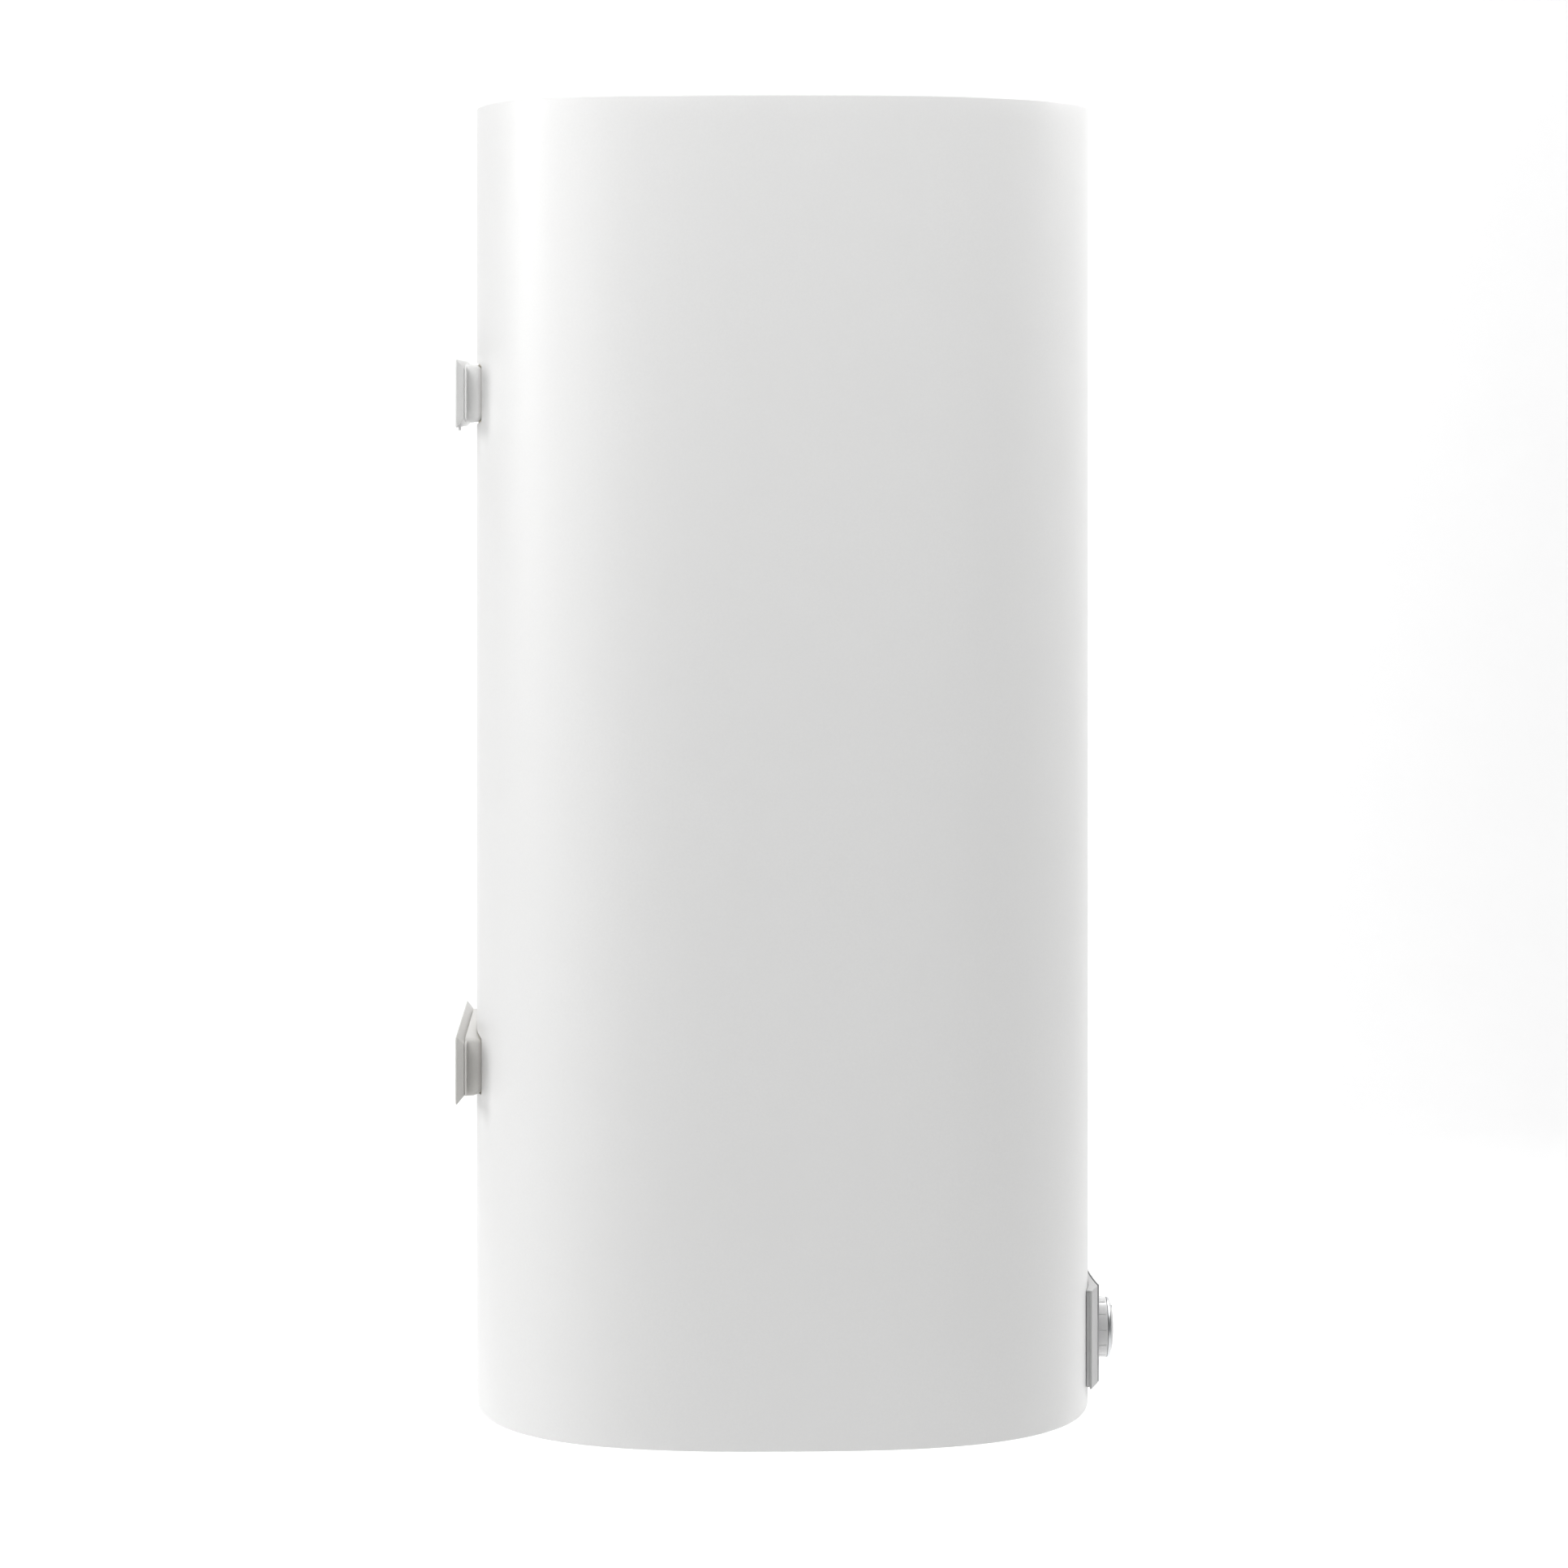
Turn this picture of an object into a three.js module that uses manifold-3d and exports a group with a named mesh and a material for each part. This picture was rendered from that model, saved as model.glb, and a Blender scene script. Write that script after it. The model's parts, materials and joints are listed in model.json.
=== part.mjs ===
// Wall-hung electric storage water heater, about 100 litres: a round enamelled tank in foam, inside a
// rounded-square steel casing. Millimetres, +Z up. The wall is the plane Y = 0, the heater's front faces -Y,
// and the origin is the middle of the upper bracket's wall face.
import * as THREE from "three";
import { mergeVertices } from "three/addons/utils/BufferGeometryUtils.js";
import Module from "manifold-3d";

const wasm = await Module();
wasm.setup();

// ---- driving dimensions ----
const GAP = 0.3; // clearance between neighbouring pieces
const CASING = { width: 454, depth: 450, height: 948, sheet: 0.8, squareness: 2.8, sides: 56 };
const STANDOFF = 12.5; // wall to the casing's rearmost line
const UPPER_BRACKET_BELOW_TOP = 209;
const BRACKET_PITCH = 488;
const TANK = { radius: 198, wall: 2, bottom: 150, top: 862, domeDepth: 58, skirt: 12, sides: 32 };
const COMPARTMENT = { ceiling: 96, radius: 150 }; // the dry space for the electrics, under the foam
const PIPE = { radius: 10.5, bore: 7.5, spread: 50, behindAxis: 105, drop: 25, sides: 16 };
const FLANGE = {
  y: -35, radius: 80, bore: 52, boltCircle: 68, bolts: 6, plateBottom: 67, plate: 5, sides: 20,
};
const KNOB = { height: 44.5, radius: 22.4, start: 4.5, rim: 16.4, crown: 22, grooves: 12, sides: 32 };
const PANEL = { halfWidth: 88, cornerHalf: 66, bottom: 15.5, height: 71.5, foot: 2.8, sideProud: 4.4 };
const PANEL_FACE = { corner: 4.8, middle: 2.4, skin: 1.2, fascia: 0.8 }; // the face is hollowed to its middle
const BRACKET = { width: 220, height: 49, tray: 6, sheet: 2 };
const LEG = { width: 176, height: 42.5, front: 23, corner: 13.5, sheet: 2.5, lugWidth: 110, lugHeight: 18 };
const LEG_FOOT = { width: 206, height: 38, sheet: 1.5 }; // the leg's flange, which closes the wall plate's dish

// Local frame of the body: the tank's axis is X = Y = 0, the front faces -Y, and Z = 0 is the casing's
// lower edge.
const HALF_WIDTH = CASING.width / 2;
const HALF_DEPTH = CASING.depth / 2;
const WALL_Y = HALF_DEPTH + STANDOFF;
const UPPER_BRACKET_Z = CASING.height - UPPER_BRACKET_BELOW_TOP;
const LOWER_BRACKET_Z = UPPER_BRACKET_Z - BRACKET_PITCH;

// ---- solids: closed geometries, and their joins and cuts ----
function solid(geometry) {
  const bare = new THREE.BufferGeometry();
  bare.setAttribute("position", geometry.getAttribute("position"));
  if (geometry.index) bare.setIndex(geometry.index);
  const merged = mergeVertices(bare, 1e-4);
  const corners = merged.index.array;
  const kept = [];
  for (let i = 0; i < corners.length; i += 3) {
    const [a, b, c] = [corners[i], corners[i + 1], corners[i + 2]];
    if (a !== b && b !== c && c !== a) kept.push(a, b, c);
  }
  const vertProperties = new Float32Array(merged.attributes.position.array);
  const closed = () => {
    const triVerts = new Uint32Array(kept);
    return new wasm.Manifold(new wasm.Mesh({ numProp: 3, vertProperties, triVerts }));
  };
  const made = closed();
  if (made.volume() > 0) return made;
  for (let i = 0; i < kept.length; i += 3) [kept[i + 1], kept[i + 2]] = [kept[i + 2], kept[i + 1]];
  return closed();
}

const join = (first, ...others) => others.reduce((sum, other) => sum.add(other), first);
const cut = (base, ...tools) => tools.reduce((rest, tool) => rest.subtract(tool), base);

function geometryOf(body) {
  const { vertProperties, triVerts, numProp, numVert } = body.getMesh();
  const positions = new Float32Array(numVert * 3);
  for (let i = 0; i < numVert; i++) {
    positions.set(vertProperties.subarray(i * numProp, i * numProp + 3), i * 3);
  }
  const geometry = new THREE.BufferGeometry();
  geometry.setAttribute("position", new THREE.BufferAttribute(positions, 3));
  geometry.setIndex(new THREE.BufferAttribute(new Uint32Array(triVerts), 1));
  const flat = geometry.toNonIndexed();
  flat.computeVertexNormals();
  return flat;
}

// ---- basic shapes ----
function box(sizeX, sizeY, sizeZ, x, y, z) {
  return solid(new THREE.BoxGeometry(sizeX, sizeY, sizeZ).translate(x, y, z));
}

// An upright rod between two heights.
function rod(radius, bottom, top, x = 0, y = 0, sides = 16) {
  const geometry = new THREE.CylinderGeometry(radius, radius, top - bottom, sides);
  return solid(geometry.rotateX(Math.PI / 2).translate(x, y, (bottom + top) / 2));
}

// A rod along Y.
function crossRod(radius, yStart, yEnd, x, z, sides = 16) {
  const geometry = new THREE.CylinderGeometry(radius, radius, yEnd - yStart, sides);
  return solid(geometry.translate(x, (yStart + yEnd) / 2, z));
}

// A piece turned about a vertical axis, from [radius, height] points in order round its section.
function turned(profile, x = 0, y = 0, sides = 24) {
  const onAxis = profile[0][0] === 0 && profile.at(-1)[0] === 0;
  const outline = onAxis ? profile : [...profile, profile[0]];
  const points = outline.map(([radius, height]) => new THREE.Vector2(radius, height));
  return solid(new THREE.LatheGeometry(points, sides).rotateX(Math.PI / 2).translate(x, y, 0));
}

const tube = (outer, inner, bottom, top, x, y, sides) =>
  turned([[inner, bottom], [outer, bottom], [outer, top], [inner, top]], x, y, sides);

// An upright prism on a plan outline.
function prism(outline, bottom, top) {
  const shape = new THREE.Shape(outline.map(([x, y]) => new THREE.Vector2(x, y)));
  const geometry = new THREE.ExtrudeGeometry(shape, { depth: top - bottom, bevelEnabled: false });
  return solid(geometry.translate(0, 0, bottom));
}

// A skin through outlines of equal count, each an array of [x, y, z] points, closed at both ends.
function loft(outlines) {
  const count = outlines[0].length;
  const positions = outlines.flat(2);
  const index = [];
  for (let level = 0; level + 1 < outlines.length; level++) {
    for (let i = 0; i < count; i++) {
      const [a, b] = [level * count + i, level * count + ((i + 1) % count)];
      index.push(a, b, b + count, a, b + count, a + count);
    }
  }
  const last = (outlines.length - 1) * count;
  for (let i = 1; i + 1 < count; i++) {
    index.push(0, i + 1, i, last, last + i, last + i + 1);
  }
  const geometry = new THREE.BufferGeometry();
  geometry.setAttribute("position", new THREE.BufferAttribute(new Float32Array(positions), 3));
  geometry.setIndex(index);
  return solid(geometry);
}

// A round wire or tube along a smooth curve through points.
function wire(points, radius, steps = 20, sides = 8) {
  const path = new THREE.CatmullRomCurve3(points.map((point) => new THREE.Vector3(...point)));
  const corners = Array.from({ length: sides }, (_, i) => {
    const angle = (2 * Math.PI * i) / sides;
    return new THREE.Vector2(radius * Math.cos(angle), radius * Math.sin(angle));
  });
  return solid(new THREE.ExtrudeGeometry(new THREE.Shape(corners), { steps, extrudePath: path }));
}

// The casing's plan: a superellipse, drawn in from the outer surface by an inset.
function squirclePoint(angle, inset) {
  const [cosine, sine] = [Math.cos(angle), Math.sin(angle)];
  const sum =
    Math.abs(cosine / (HALF_WIDTH - inset)) ** CASING.squareness +
    Math.abs(sine / (HALF_DEPTH - inset)) ** CASING.squareness;
  const reach = sum ** (-1 / CASING.squareness);
  return [reach * cosine, reach * sine];
}

const squircle = (inset) =>
  Array.from({ length: CASING.sides }, (_, i) => squirclePoint((2 * Math.PI * i) / CASING.sides, inset));

// How far in front of the tank's axis the casing's front lies, at a distance x from the middle.
function frontReach(x) {
  const { squareness } = CASING;
  return HALF_DEPTH * (1 - Math.abs(x / HALF_WIDTH) ** squareness) ** (1 / squareness);
}

// ---- materials ----
function finish(color, roughness, metalness = 0) {
  return new THREE.MeshStandardMaterial({ color, roughness, metalness });
}
const FINISHES = {
  casingWhite: finish("#f1f1f0", 0.35),
  coverWhite: finish("#eeeeec", 0.45),
  bracketWhite: finish("#ececeb", 0.4),
  bracketGrey: finish("#cfccc8", 0.5, 0.3),
  foam: finish("#d9c99a", 0.95),
  enamel: finish("#2f4f6b", 0.25),
  steel: finish("#a9adb0", 0.35, 0.9),
  magnesium: finish("#b9bbbd", 0.6, 0.7),
  ceramic: finish("#e6e0d2", 0.7),
  rubber: finish("#1d1d1f", 0.8),
  chrome: finish("#d8dade", 0.08, 1),
  panelGrey: finish("#c9cacb", 0.4),
  panelDark: finish("#8d8f91", 0.6),
  blue: finish("#2464b4", 0.5),
  red: finish("#c22a26", 0.5),
  lens: finish("#e8a33a", 0.2),
  blackPlastic: finish("#27282a", 0.5),
  brass: finish("#b8964b", 0.3, 0.9),
  copper: finish("#b56a41", 0.35, 0.9),
  wireBrown: finish("#6b4023", 0.5),
  wireBlue: finish("#2a5fb0", 0.5),
  wireGreen: finish("#5e9a35", 0.5),
};

function piece(name, body, material) {
  const mesh = new THREE.Mesh(geometryOf(body), material);
  mesh.name = name;
  return mesh;
}

// ---- brackets: a dished wall plate on a box leg that is welded to the tank ----
function rectangleAt(halfX, halfZ, y, centreZ) {
  const corners = [[-halfX, -halfZ], [halfX, -halfZ], [halfX, halfZ], [-halfX, halfZ]];
  return corners.map(([x, z]) => [x, y, centreZ + z]);
}

function frustum(halfX, halfZ, chamferX, chamferZ, yWall, yFront, centreZ) {
  const wallSide = rectangleAt(halfX, halfZ, yWall, centreZ);
  const frontSide = rectangleAt(halfX - chamferX, halfZ - chamferZ, yFront, centreZ);
  return loft([frontSide, wallSide]);
}

const HOOK_WINDOW = { width: 16, height: 20, offset: 60 };
const HOOK_TAB = { width: 10, sheet: 1.6, drop: 9, fromEnd: 12, offWall: 2.8 };

function bracketPlate(centreZ, hasTab) {
  const { width, height, tray, sheet } = BRACKET;
  const [chamferX, chamferZ] = [7, 5.5];
  const [halfX, halfZ] = [width / 2, height / 2];
  const dish = cut(
    frustum(halfX, halfZ, chamferX, chamferZ, WALL_Y, WALL_Y - tray, centreZ),
    frustum(halfX - 2.6, halfZ - 2.6, chamferX, chamferZ, WALL_Y - sheet, WALL_Y - sheet - tray, centreZ),
    ...hookWindows(centreZ),
  );
  if (!hasTab) return dish;
  const tabZ = centreZ - halfZ + 2.4;
  const tabX = halfX - HOOK_TAB.fromEnd;
  const tabY = WALL_Y - HOOK_TAB.offWall;
  return join(dish, box(HOOK_TAB.width, HOOK_TAB.sheet, HOOK_TAB.drop, -tabX, tabY, tabZ));
}

const hookWindows = (centreZ) =>
  [-1, 1].map((side) =>
    box(HOOK_WINDOW.width, 20, HOOK_WINDOW.height, side * HOOK_WINDOW.offset, WALL_Y, centreZ));

// A bar along X, rounded all round its face on the tank's side.
function roundedBar(width, halfHeight, back, front, corner, centreZ) {
  const plan = roundedPlan(width / 2, back, front, corner);
  const bar = straightBar(width, halfHeight, back, front, corner, centreZ);
  return bar.intersect(prism(plan, centreZ - halfHeight - 1, centreZ + halfHeight + 1));
}

// An outline seen from above, square at the back and with two rounded corners at the front.
function roundedPlan(halfWidth, back, front, corner) {
  const steps = 4;
  const bend = (side, i) => {
    const angle = (Math.PI / 2) * (i / steps);
    const x = side * (halfWidth - corner + corner * Math.cos(angle));
    return [x, front + corner - corner * Math.sin(angle)];
  };
  const leftBend = Array.from({ length: steps + 1 }, (_, i) => bend(-1, i));
  const rightBend = Array.from({ length: steps + 1 }, (_, i) => bend(1, steps - i));
  return [[halfWidth, back], [-halfWidth, back], ...leftBend, ...rightBend];
}

// A bar along X whose two long edges on the tank's side are rounded.
function straightBar(width, halfHeight, back, front, corner, centreZ) {
  const shape = new THREE.Shape();
  shape.moveTo(back, centreZ - halfHeight);
  shape.lineTo(back, centreZ + halfHeight);
  shape.lineTo(front + corner, centreZ + halfHeight);
  shape.absarc(front + corner, centreZ + halfHeight - corner, corner, Math.PI / 2, Math.PI, false);
  shape.absarc(front + corner, centreZ - halfHeight + corner, corner, Math.PI, 1.5 * Math.PI, false);
  const bar = new THREE.ExtrudeGeometry(shape, { depth: width, bevelEnabled: false, curveSegments: 4 });
  // The outline's first axis becomes Y, its second Z, and the length lies along X.
  bar.applyMatrix4(new THREE.Matrix4().makeBasis(
    new THREE.Vector3(0, 1, 0), new THREE.Vector3(0, 0, 1), new THREE.Vector3(1, 0, 0)));
  return solid(bar.translate(-width / 2, 0, 0));
}

// The leg's outside, from the wall plate to the tank; a clearance makes it fatter, to cut the foam.
function legForm(centreZ, clearance) {
  const back = WALL_Y - BRACKET.tray - GAP + clearance;
  const front = WALL_Y - LEG.front - clearance;
  const [width, halfHeight] = [LEG.width + 2 * clearance, LEG.height / 2 + clearance];
  const bar = roundedBar(width, halfHeight, back, front, LEG.corner, centreZ);
  const lugDepth = 44;
  const [lugWidth, lugHeight] = [LEG.lugWidth + 2 * clearance, LEG.lugHeight + 2 * clearance];
  return join(bar, box(lugWidth, lugDepth, lugHeight, 0, front + 1 - lugDepth / 2, centreZ));
}

function bracketLeg(centreZ) {
  const back = WALL_Y - BRACKET.tray - GAP;
  const front = WALL_Y - LEG.front;
  const { width, height, sheet, corner } = LEG;
  const foot = box(LEG_FOOT.width, LEG_FOOT.sheet, LEG_FOOT.height, 0, back - LEG_FOOT.sheet / 2, centreZ);
  return cut(
    join(legForm(centreZ, 0), foot),
    roundedBar(width - 2 * sheet, height / 2 - sheet, back - sheet, front + sheet, corner - sheet, centreZ),
    rod(TANK.radius + GAP, centreZ - 40, centreZ + 40, 0, 0, TANK.sides),
    ...hookWindows(centreZ),
  );
}

function brackets() {
  const group = new THREE.Group();
  const places = [
    ["upper", UPPER_BRACKET_Z, FINISHES.bracketWhite],
    ["lower", LOWER_BRACKET_Z, FINISHES.bracketGrey],
  ];
  for (const [level, z, material] of places) {
    group.add(piece(`${level}_bracket_plate`, bracketPlate(z, level === "upper"), material));
    group.add(piece(`${level}_bracket_leg`, bracketLeg(z), material));
  }
  return group;
}

// ---- casing, covers and foam ----
const GLAND = { x: -70, y: -120, radius: 8, bore: 4.5 };
const COVER_SCREWS = [[-150, -40], [150, -40]];
const LEG_CLEARANCE = 1.2;

function casingShell() {
  const { height, sheet } = CASING;
  const shell = cut(prism(squircle(0), 0, height), prism(squircle(sheet), -1, height + 1));
  const lipDisc = prism(squircle(sheet / 2), height - sheet, height);
  const lip = cut(lipDisc, prism(squircle(7), height - 5, height + 1));
  const legOpenings = [UPPER_BRACKET_Z, LOWER_BRACKET_Z].map((z) => legForm(z, LEG_CLEARANCE));
  const shaftOpening = crossRod(7, -HALF_DEPTH - 5, -HALF_DEPTH + 10, 0, KNOB.height);
  return cut(join(shell, lip), ...legOpenings, shaftOpening);
}

function topCover() {
  const { height, sheet } = CASING;
  const under = height - sheet - GAP;
  const rimDisc = prism(squircle(sheet + GAP), under - 9, under);
  const rim = cut(rimDisc, prism(squircle(sheet + 2.3), under - 10, under + 1));
  const ceiling = prism(squircle(sheet + GAP), under - 2, under);
  const crown = loft([
    squircle(8).map(([x, y]) => [x, y, under - 0.5]),
    squircle(14).map(([x, y]) => [x, y, height + 0.2]),
    squircle(60).map(([x, y]) => [x, y, height + 2]),
  ]);
  return join(rim, ceiling, crown);
}

function bottomCover() {
  const edge = CASING.sheet + GAP;
  const tray = cut(prism(squircle(edge), 1, 14), prism(squircle(edge + 2.2), 4, 20));
  const pipeHoles = [-1, 1].map((side) => rod(17, -5, 20, side * PIPE.spread, PIPE.behindAxis, 24));
  const screwHoles = COVER_SCREWS.map(([x, y]) => rod(2.6, -5, 20, x, y));
  const vents = [-2, -1, 0, 1, 2].map((row) => box(46, 4, 20, 0, -60 + row * 10, 4));
  return cut(tray, ...pipeHoles, ...screwHoles, ...vents, rod(GLAND.radius + GAP, -5, 20, GLAND.x, GLAND.y));
}

// The tank's outer surface with a margin, as a solid, for the cavity in the foam.
function tankForm(margin) {
  const { radius, bottom, top, domeDepth, sides } = TANK;
  const dome = (steps, sign, base, smallest) =>
    Array.from({ length: steps }, (_, i) => {
      const along = smallest + ((1 - smallest) * i) / (steps - 1);
      return [(radius + margin) * along, base + sign * (domeDepth + margin) * Math.sqrt(1 - along * along)];
    });
  const upper = dome(6, 1, top, 0).reverse();
  const lower = dome(4, -1, bottom, COMPARTMENT.radius / radius);
  const mouth = [[0, 40], [COMPARTMENT.radius, 40]];
  return turned([...mouth, ...lower, ...upper], 0, 0, sides);
}

function foam() {
  const block = prism(squircle(CASING.sheet + GAP), COMPARTMENT.ceiling, CASING.height - 12);
  return cut(
    block,
    tankForm(0.5),
    legForm(UPPER_BRACKET_Z, GAP),
    legForm(LOWER_BRACKET_Z, GAP),
  );
}

// A pan-head screw with a straight slot.
function coverScrew(x, y) {
  const head = turned([[0, -0.8], [3, -0.8], [4.4, 0], [4.4, 0.7], [0, 0.7]], x, y, 12);
  const slot = box(5, 1, 1.2, x, y, -0.8);
  return cut(join(head, rod(2.2, 0.5, 13, x, y, 12)), slot);
}

function shells() {
  const group = new THREE.Group();
  group.add(piece("outer_casing", casingShell(), FINISHES.casingWhite));
  group.add(piece("top_cover", topCover(), FINISHES.coverWhite));
  group.add(piece("bottom_cover", bottomCover(), FINISHES.coverWhite));
  group.add(piece("foam_insulation", foam(), FINISHES.foam));
  COVER_SCREWS.forEach(([x, y], i) => {
    group.add(piece(`bottom_cover_screw_${i + 1}`, coverScrew(x, y), FINISHES.steel));
  });
  return group;
}

// ---- tank, water pipes and what stands in the water ----
function dome(base, sign, openings) {
  const { radius, wall, domeDepth, skirt, sides } = TANK;
  const outer = radius - wall - GAP;
  const steps = 5;
  const arc = (reach, depth) =>
    Array.from({ length: steps }, (_, i) => {
      const along = i / (steps - 1);
      return [reach * along, base + sign * depth * Math.sqrt(1 - along * along)];
    });
  const outside = arc(outer, domeDepth);
  const inside = arc(outer - wall, domeDepth - wall).reverse();
  const skirtEnd = base - sign * skirt;
  const outline = [...outside, [outer, skirtEnd], [outer - wall, skirtEnd], ...inside];
  return cut(turned(outline, 0, 0, sides), ...openings);
}

const pipePlaces = [["cold", 1], ["hot", -1]].map(([water, side]) => ({ water, x: side * PIPE.spread }));

function tank() {
  const { radius, wall, bottom, top, sides } = TANK;
  const flangeHole = rod(58 + GAP, 60, 140, 0, FLANGE.y, FLANGE.sides);
  const pipeHoles = pipePlaces.map(({ x }) =>
    rod(PIPE.radius + GAP, 60, 160, x, PIPE.behindAxis, PIPE.sides));
  const group = new THREE.Group();
  group.add(piece("tank_shell", tube(radius, radius - wall, bottom, top, 0, 0, sides), FINISHES.enamel));
  group.add(piece("tank_top_dome", dome(top, 1, []), FINISHES.enamel));
  group.add(piece("tank_bottom_dome", dome(bottom, -1, [flangeHole, ...pipeHoles]), FINISHES.enamel));
  return group;
}

function waterPipes() {
  const group = new THREE.Group();
  const { radius, bore, behindAxis, drop, sides } = PIPE;
  const reach = { cold: 165, hot: 140 };
  for (const { water, x } of pipePlaces) {
    const top = reach[water];
    const profile = [
      [bore, -drop], [radius - 1, -drop], [radius, -drop + 1], [radius, top], [bore, top],
    ];
    const name = water === "cold" ? "cold_inlet_pipe" : "hot_outlet_pipe";
    group.add(piece(name, turned(profile, x, behindAxis, sides), FINISHES.steel));
    const ring = tube(16, radius + GAP, -3, 0.7, x, behindAxis, sides);
    group.add(piece(`${water}_water_ring`, ring, water === "cold" ? FINISHES.blue : FINISHES.red));
    const grommet = tube(16.6, radius + GAP, 1, 7, x, behindAxis, sides);
    group.add(piece(`${water}_pipe_grommet`, grommet, FINISHES.rubber));
  }
  const [hotX, coldX] = [-PIPE.spread, PIPE.spread];
  const standpipe = tube(7.2, 6, 112, 895, hotX, behindAxis, 12);
  group.add(piece("hot_water_standpipe", standpipe, FINISHES.steel));
  const capOutline = [[0, 178], [24, 178], [26, 168], [24.5, 168], [23, 176.5], [0, 176.5]];
  const cap = turned(capOutline, coldX, behindAxis, sides);
  const posts = [0, 1, 2].map((i) => {
    const angle = (2 * Math.PI * i) / 3;
    return rod(1.5, 165 + GAP, 177, coldX + 9 * Math.cos(angle), behindAxis + 9 * Math.sin(angle), 8);
  });
  group.add(piece("inlet_diffuser", join(cap, ...posts), FINISHES.coverWhite));
  return group;
}

// ---- service flange, with the heating elements, the sensor pocket and the anode ----
const ELEMENT = { x: 26, y: FLANGE.y - 8, sleeve: 17, wall: 1.2, top: 400 };
const POCKET = { x: 0, y: FLANGE.y - 38, radius: 6, wall: 1, top: 330 };
const ANODE = { x: 0, y: FLANGE.y + 30, radius: 11, top: 440 };

function serviceFlange() {
  const { y, radius, bore, boltCircle, bolts, plateBottom, plate, sides } = FLANGE;
  const plateTop = plateBottom + plate;
  const boltPlaces = Array.from({ length: bolts }, (_, i) => {
    const angle = (2 * Math.PI * (i + 0.5)) / bolts;
    return [boltCircle * Math.cos(angle), y + boltCircle * Math.sin(angle)];
  });
  const boltHoles = boltPlaces.map(([x, boltY]) => rod(4 + GAP, 60, 90, x, boltY, 12));
  const group = new THREE.Group();

  const collar = turned(
    [[bore, 76.5], [radius, 76.5], [radius, 80.2], [58, 80.2], [58, 104], [bore, 104]], 0, y, sides);
  group.add(piece("tank_flange_collar", cut(collar, ...boltHoles), FINISHES.enamel));
  const gasket = tube(radius - 2, bore + 1, plateTop + GAP, 76.5 - GAP, 0, y, sides);
  group.add(piece("flange_gasket", cut(gasket, ...boltHoles), FINISHES.rubber));

  const sleeveHoles = [-1, 1].map((side) =>
    rod(ELEMENT.sleeve + GAP, 60, 90, side * ELEMENT.x, ELEMENT.y, 20));
  const cover = cut(
    rod(radius, plateBottom, plateTop, 0, y, sides),
    ...boltHoles,
    ...sleeveHoles,
    rod(POCKET.radius + GAP, 60, 90, POCKET.x, POCKET.y, 16),
    rod(4 + GAP, 60, 90, ANODE.x, ANODE.y, 12),
  );
  group.add(piece("service_flange", cover, FINISHES.steel));

  boltPlaces.forEach(([x, boltY], i) => {
    const head = rod(7.5, plateBottom - 5.5, plateBottom - GAP, x, boltY, 6);
    const shank = rod(4, plateBottom - 1, 86, x, boltY, 12);
    group.add(piece(`flange_bolt_${i + 1}`, join(head, shank), FINISHES.steel));
  });

  for (const [label, side] of [["left", -1], ["right", 1]]) {
    const { x, y: elementY, sleeve, wall, top } = ELEMENT;
    const inner = sleeve - wall;
    const sleeveProfile = [
      [0, top], [sleeve * 0.7, top - 4], [sleeve, top - 14], [sleeve, plateBottom - 3],
      [inner, plateBottom - 3], [inner, top - 14], [inner * 0.7, top - 5.5], [0, top - 1.5],
    ];
    const outerSleeve = turned(sleeveProfile, side * x, elementY, 20);
    group.add(piece(`element_sleeve_${label}`, outerSleeve, FINISHES.enamel));
    const stick = join(
      rod(inner - 1, plateBottom - 4, top - 30, side * x, elementY, 16),
      rod(sleeve + 1, plateBottom - 12, plateBottom - 4, side * x, elementY, 16),
      ...[-1, 1].map((end) => {
        const tabX = side * x + end * ELEMENT_TAB_SPREAD;
        return box(TAB.width, TAB.sheet, TAB.length, tabX, elementY, plateBottom - 16);
      }),
    );
    group.add(piece(`ceramic_element_${label}`, stick, FINISHES.ceramic));
  }

  const pocketInner = POCKET.radius - POCKET.wall;
  const pocketProfile = [
    [0, POCKET.top], [POCKET.radius, POCKET.top - 3], [POCKET.radius, plateBottom - 8],
    [pocketInner, plateBottom - 8], [pocketInner, POCKET.top - 4], [0, POCKET.top - 2],
  ];
  group.add(piece("sensor_pocket", turned(pocketProfile, POCKET.x, POCKET.y, 12), FINISHES.copper));

  const anodeHead = rod(7, plateBottom - 6, plateBottom - GAP, ANODE.x, ANODE.y, 6);
  const anodeShank = rod(4, plateBottom - 9, 92, ANODE.x, ANODE.y, 12);
  group.add(piece("anode_bolt", join(anodeHead, anodeShank), FINISHES.brass));
  const anodeBar = rod(ANODE.radius, 79, ANODE.top, ANODE.x, ANODE.y, 16);
  const anodeBore = rod(4 + GAP, 70, 93, ANODE.x, ANODE.y, 12);
  group.add(piece("magnesium_anode", cut(anodeBar, anodeBore), FINISHES.magnesium));
  return group;
}

// ---- electrics in the dry compartment ----
const THERMOSTAT = { width: 40, depth: 34, height: 34, back: -176, tabHeight: 8 };
const CUTOUT = { x: 54, y: -197, width: 26, depth: 26, bottom: 40, top: 62, tabSpread: 6 };
const BLOCK = { x: -60, y: -176, width: 44, depth: 18, bottom: 4.3, top: 20.3, pitch: 14 };
const TAB = { width: 6, sheet: 1, length: 10 };
const ELEMENT_TAB_SPREAD = 7;

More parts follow.
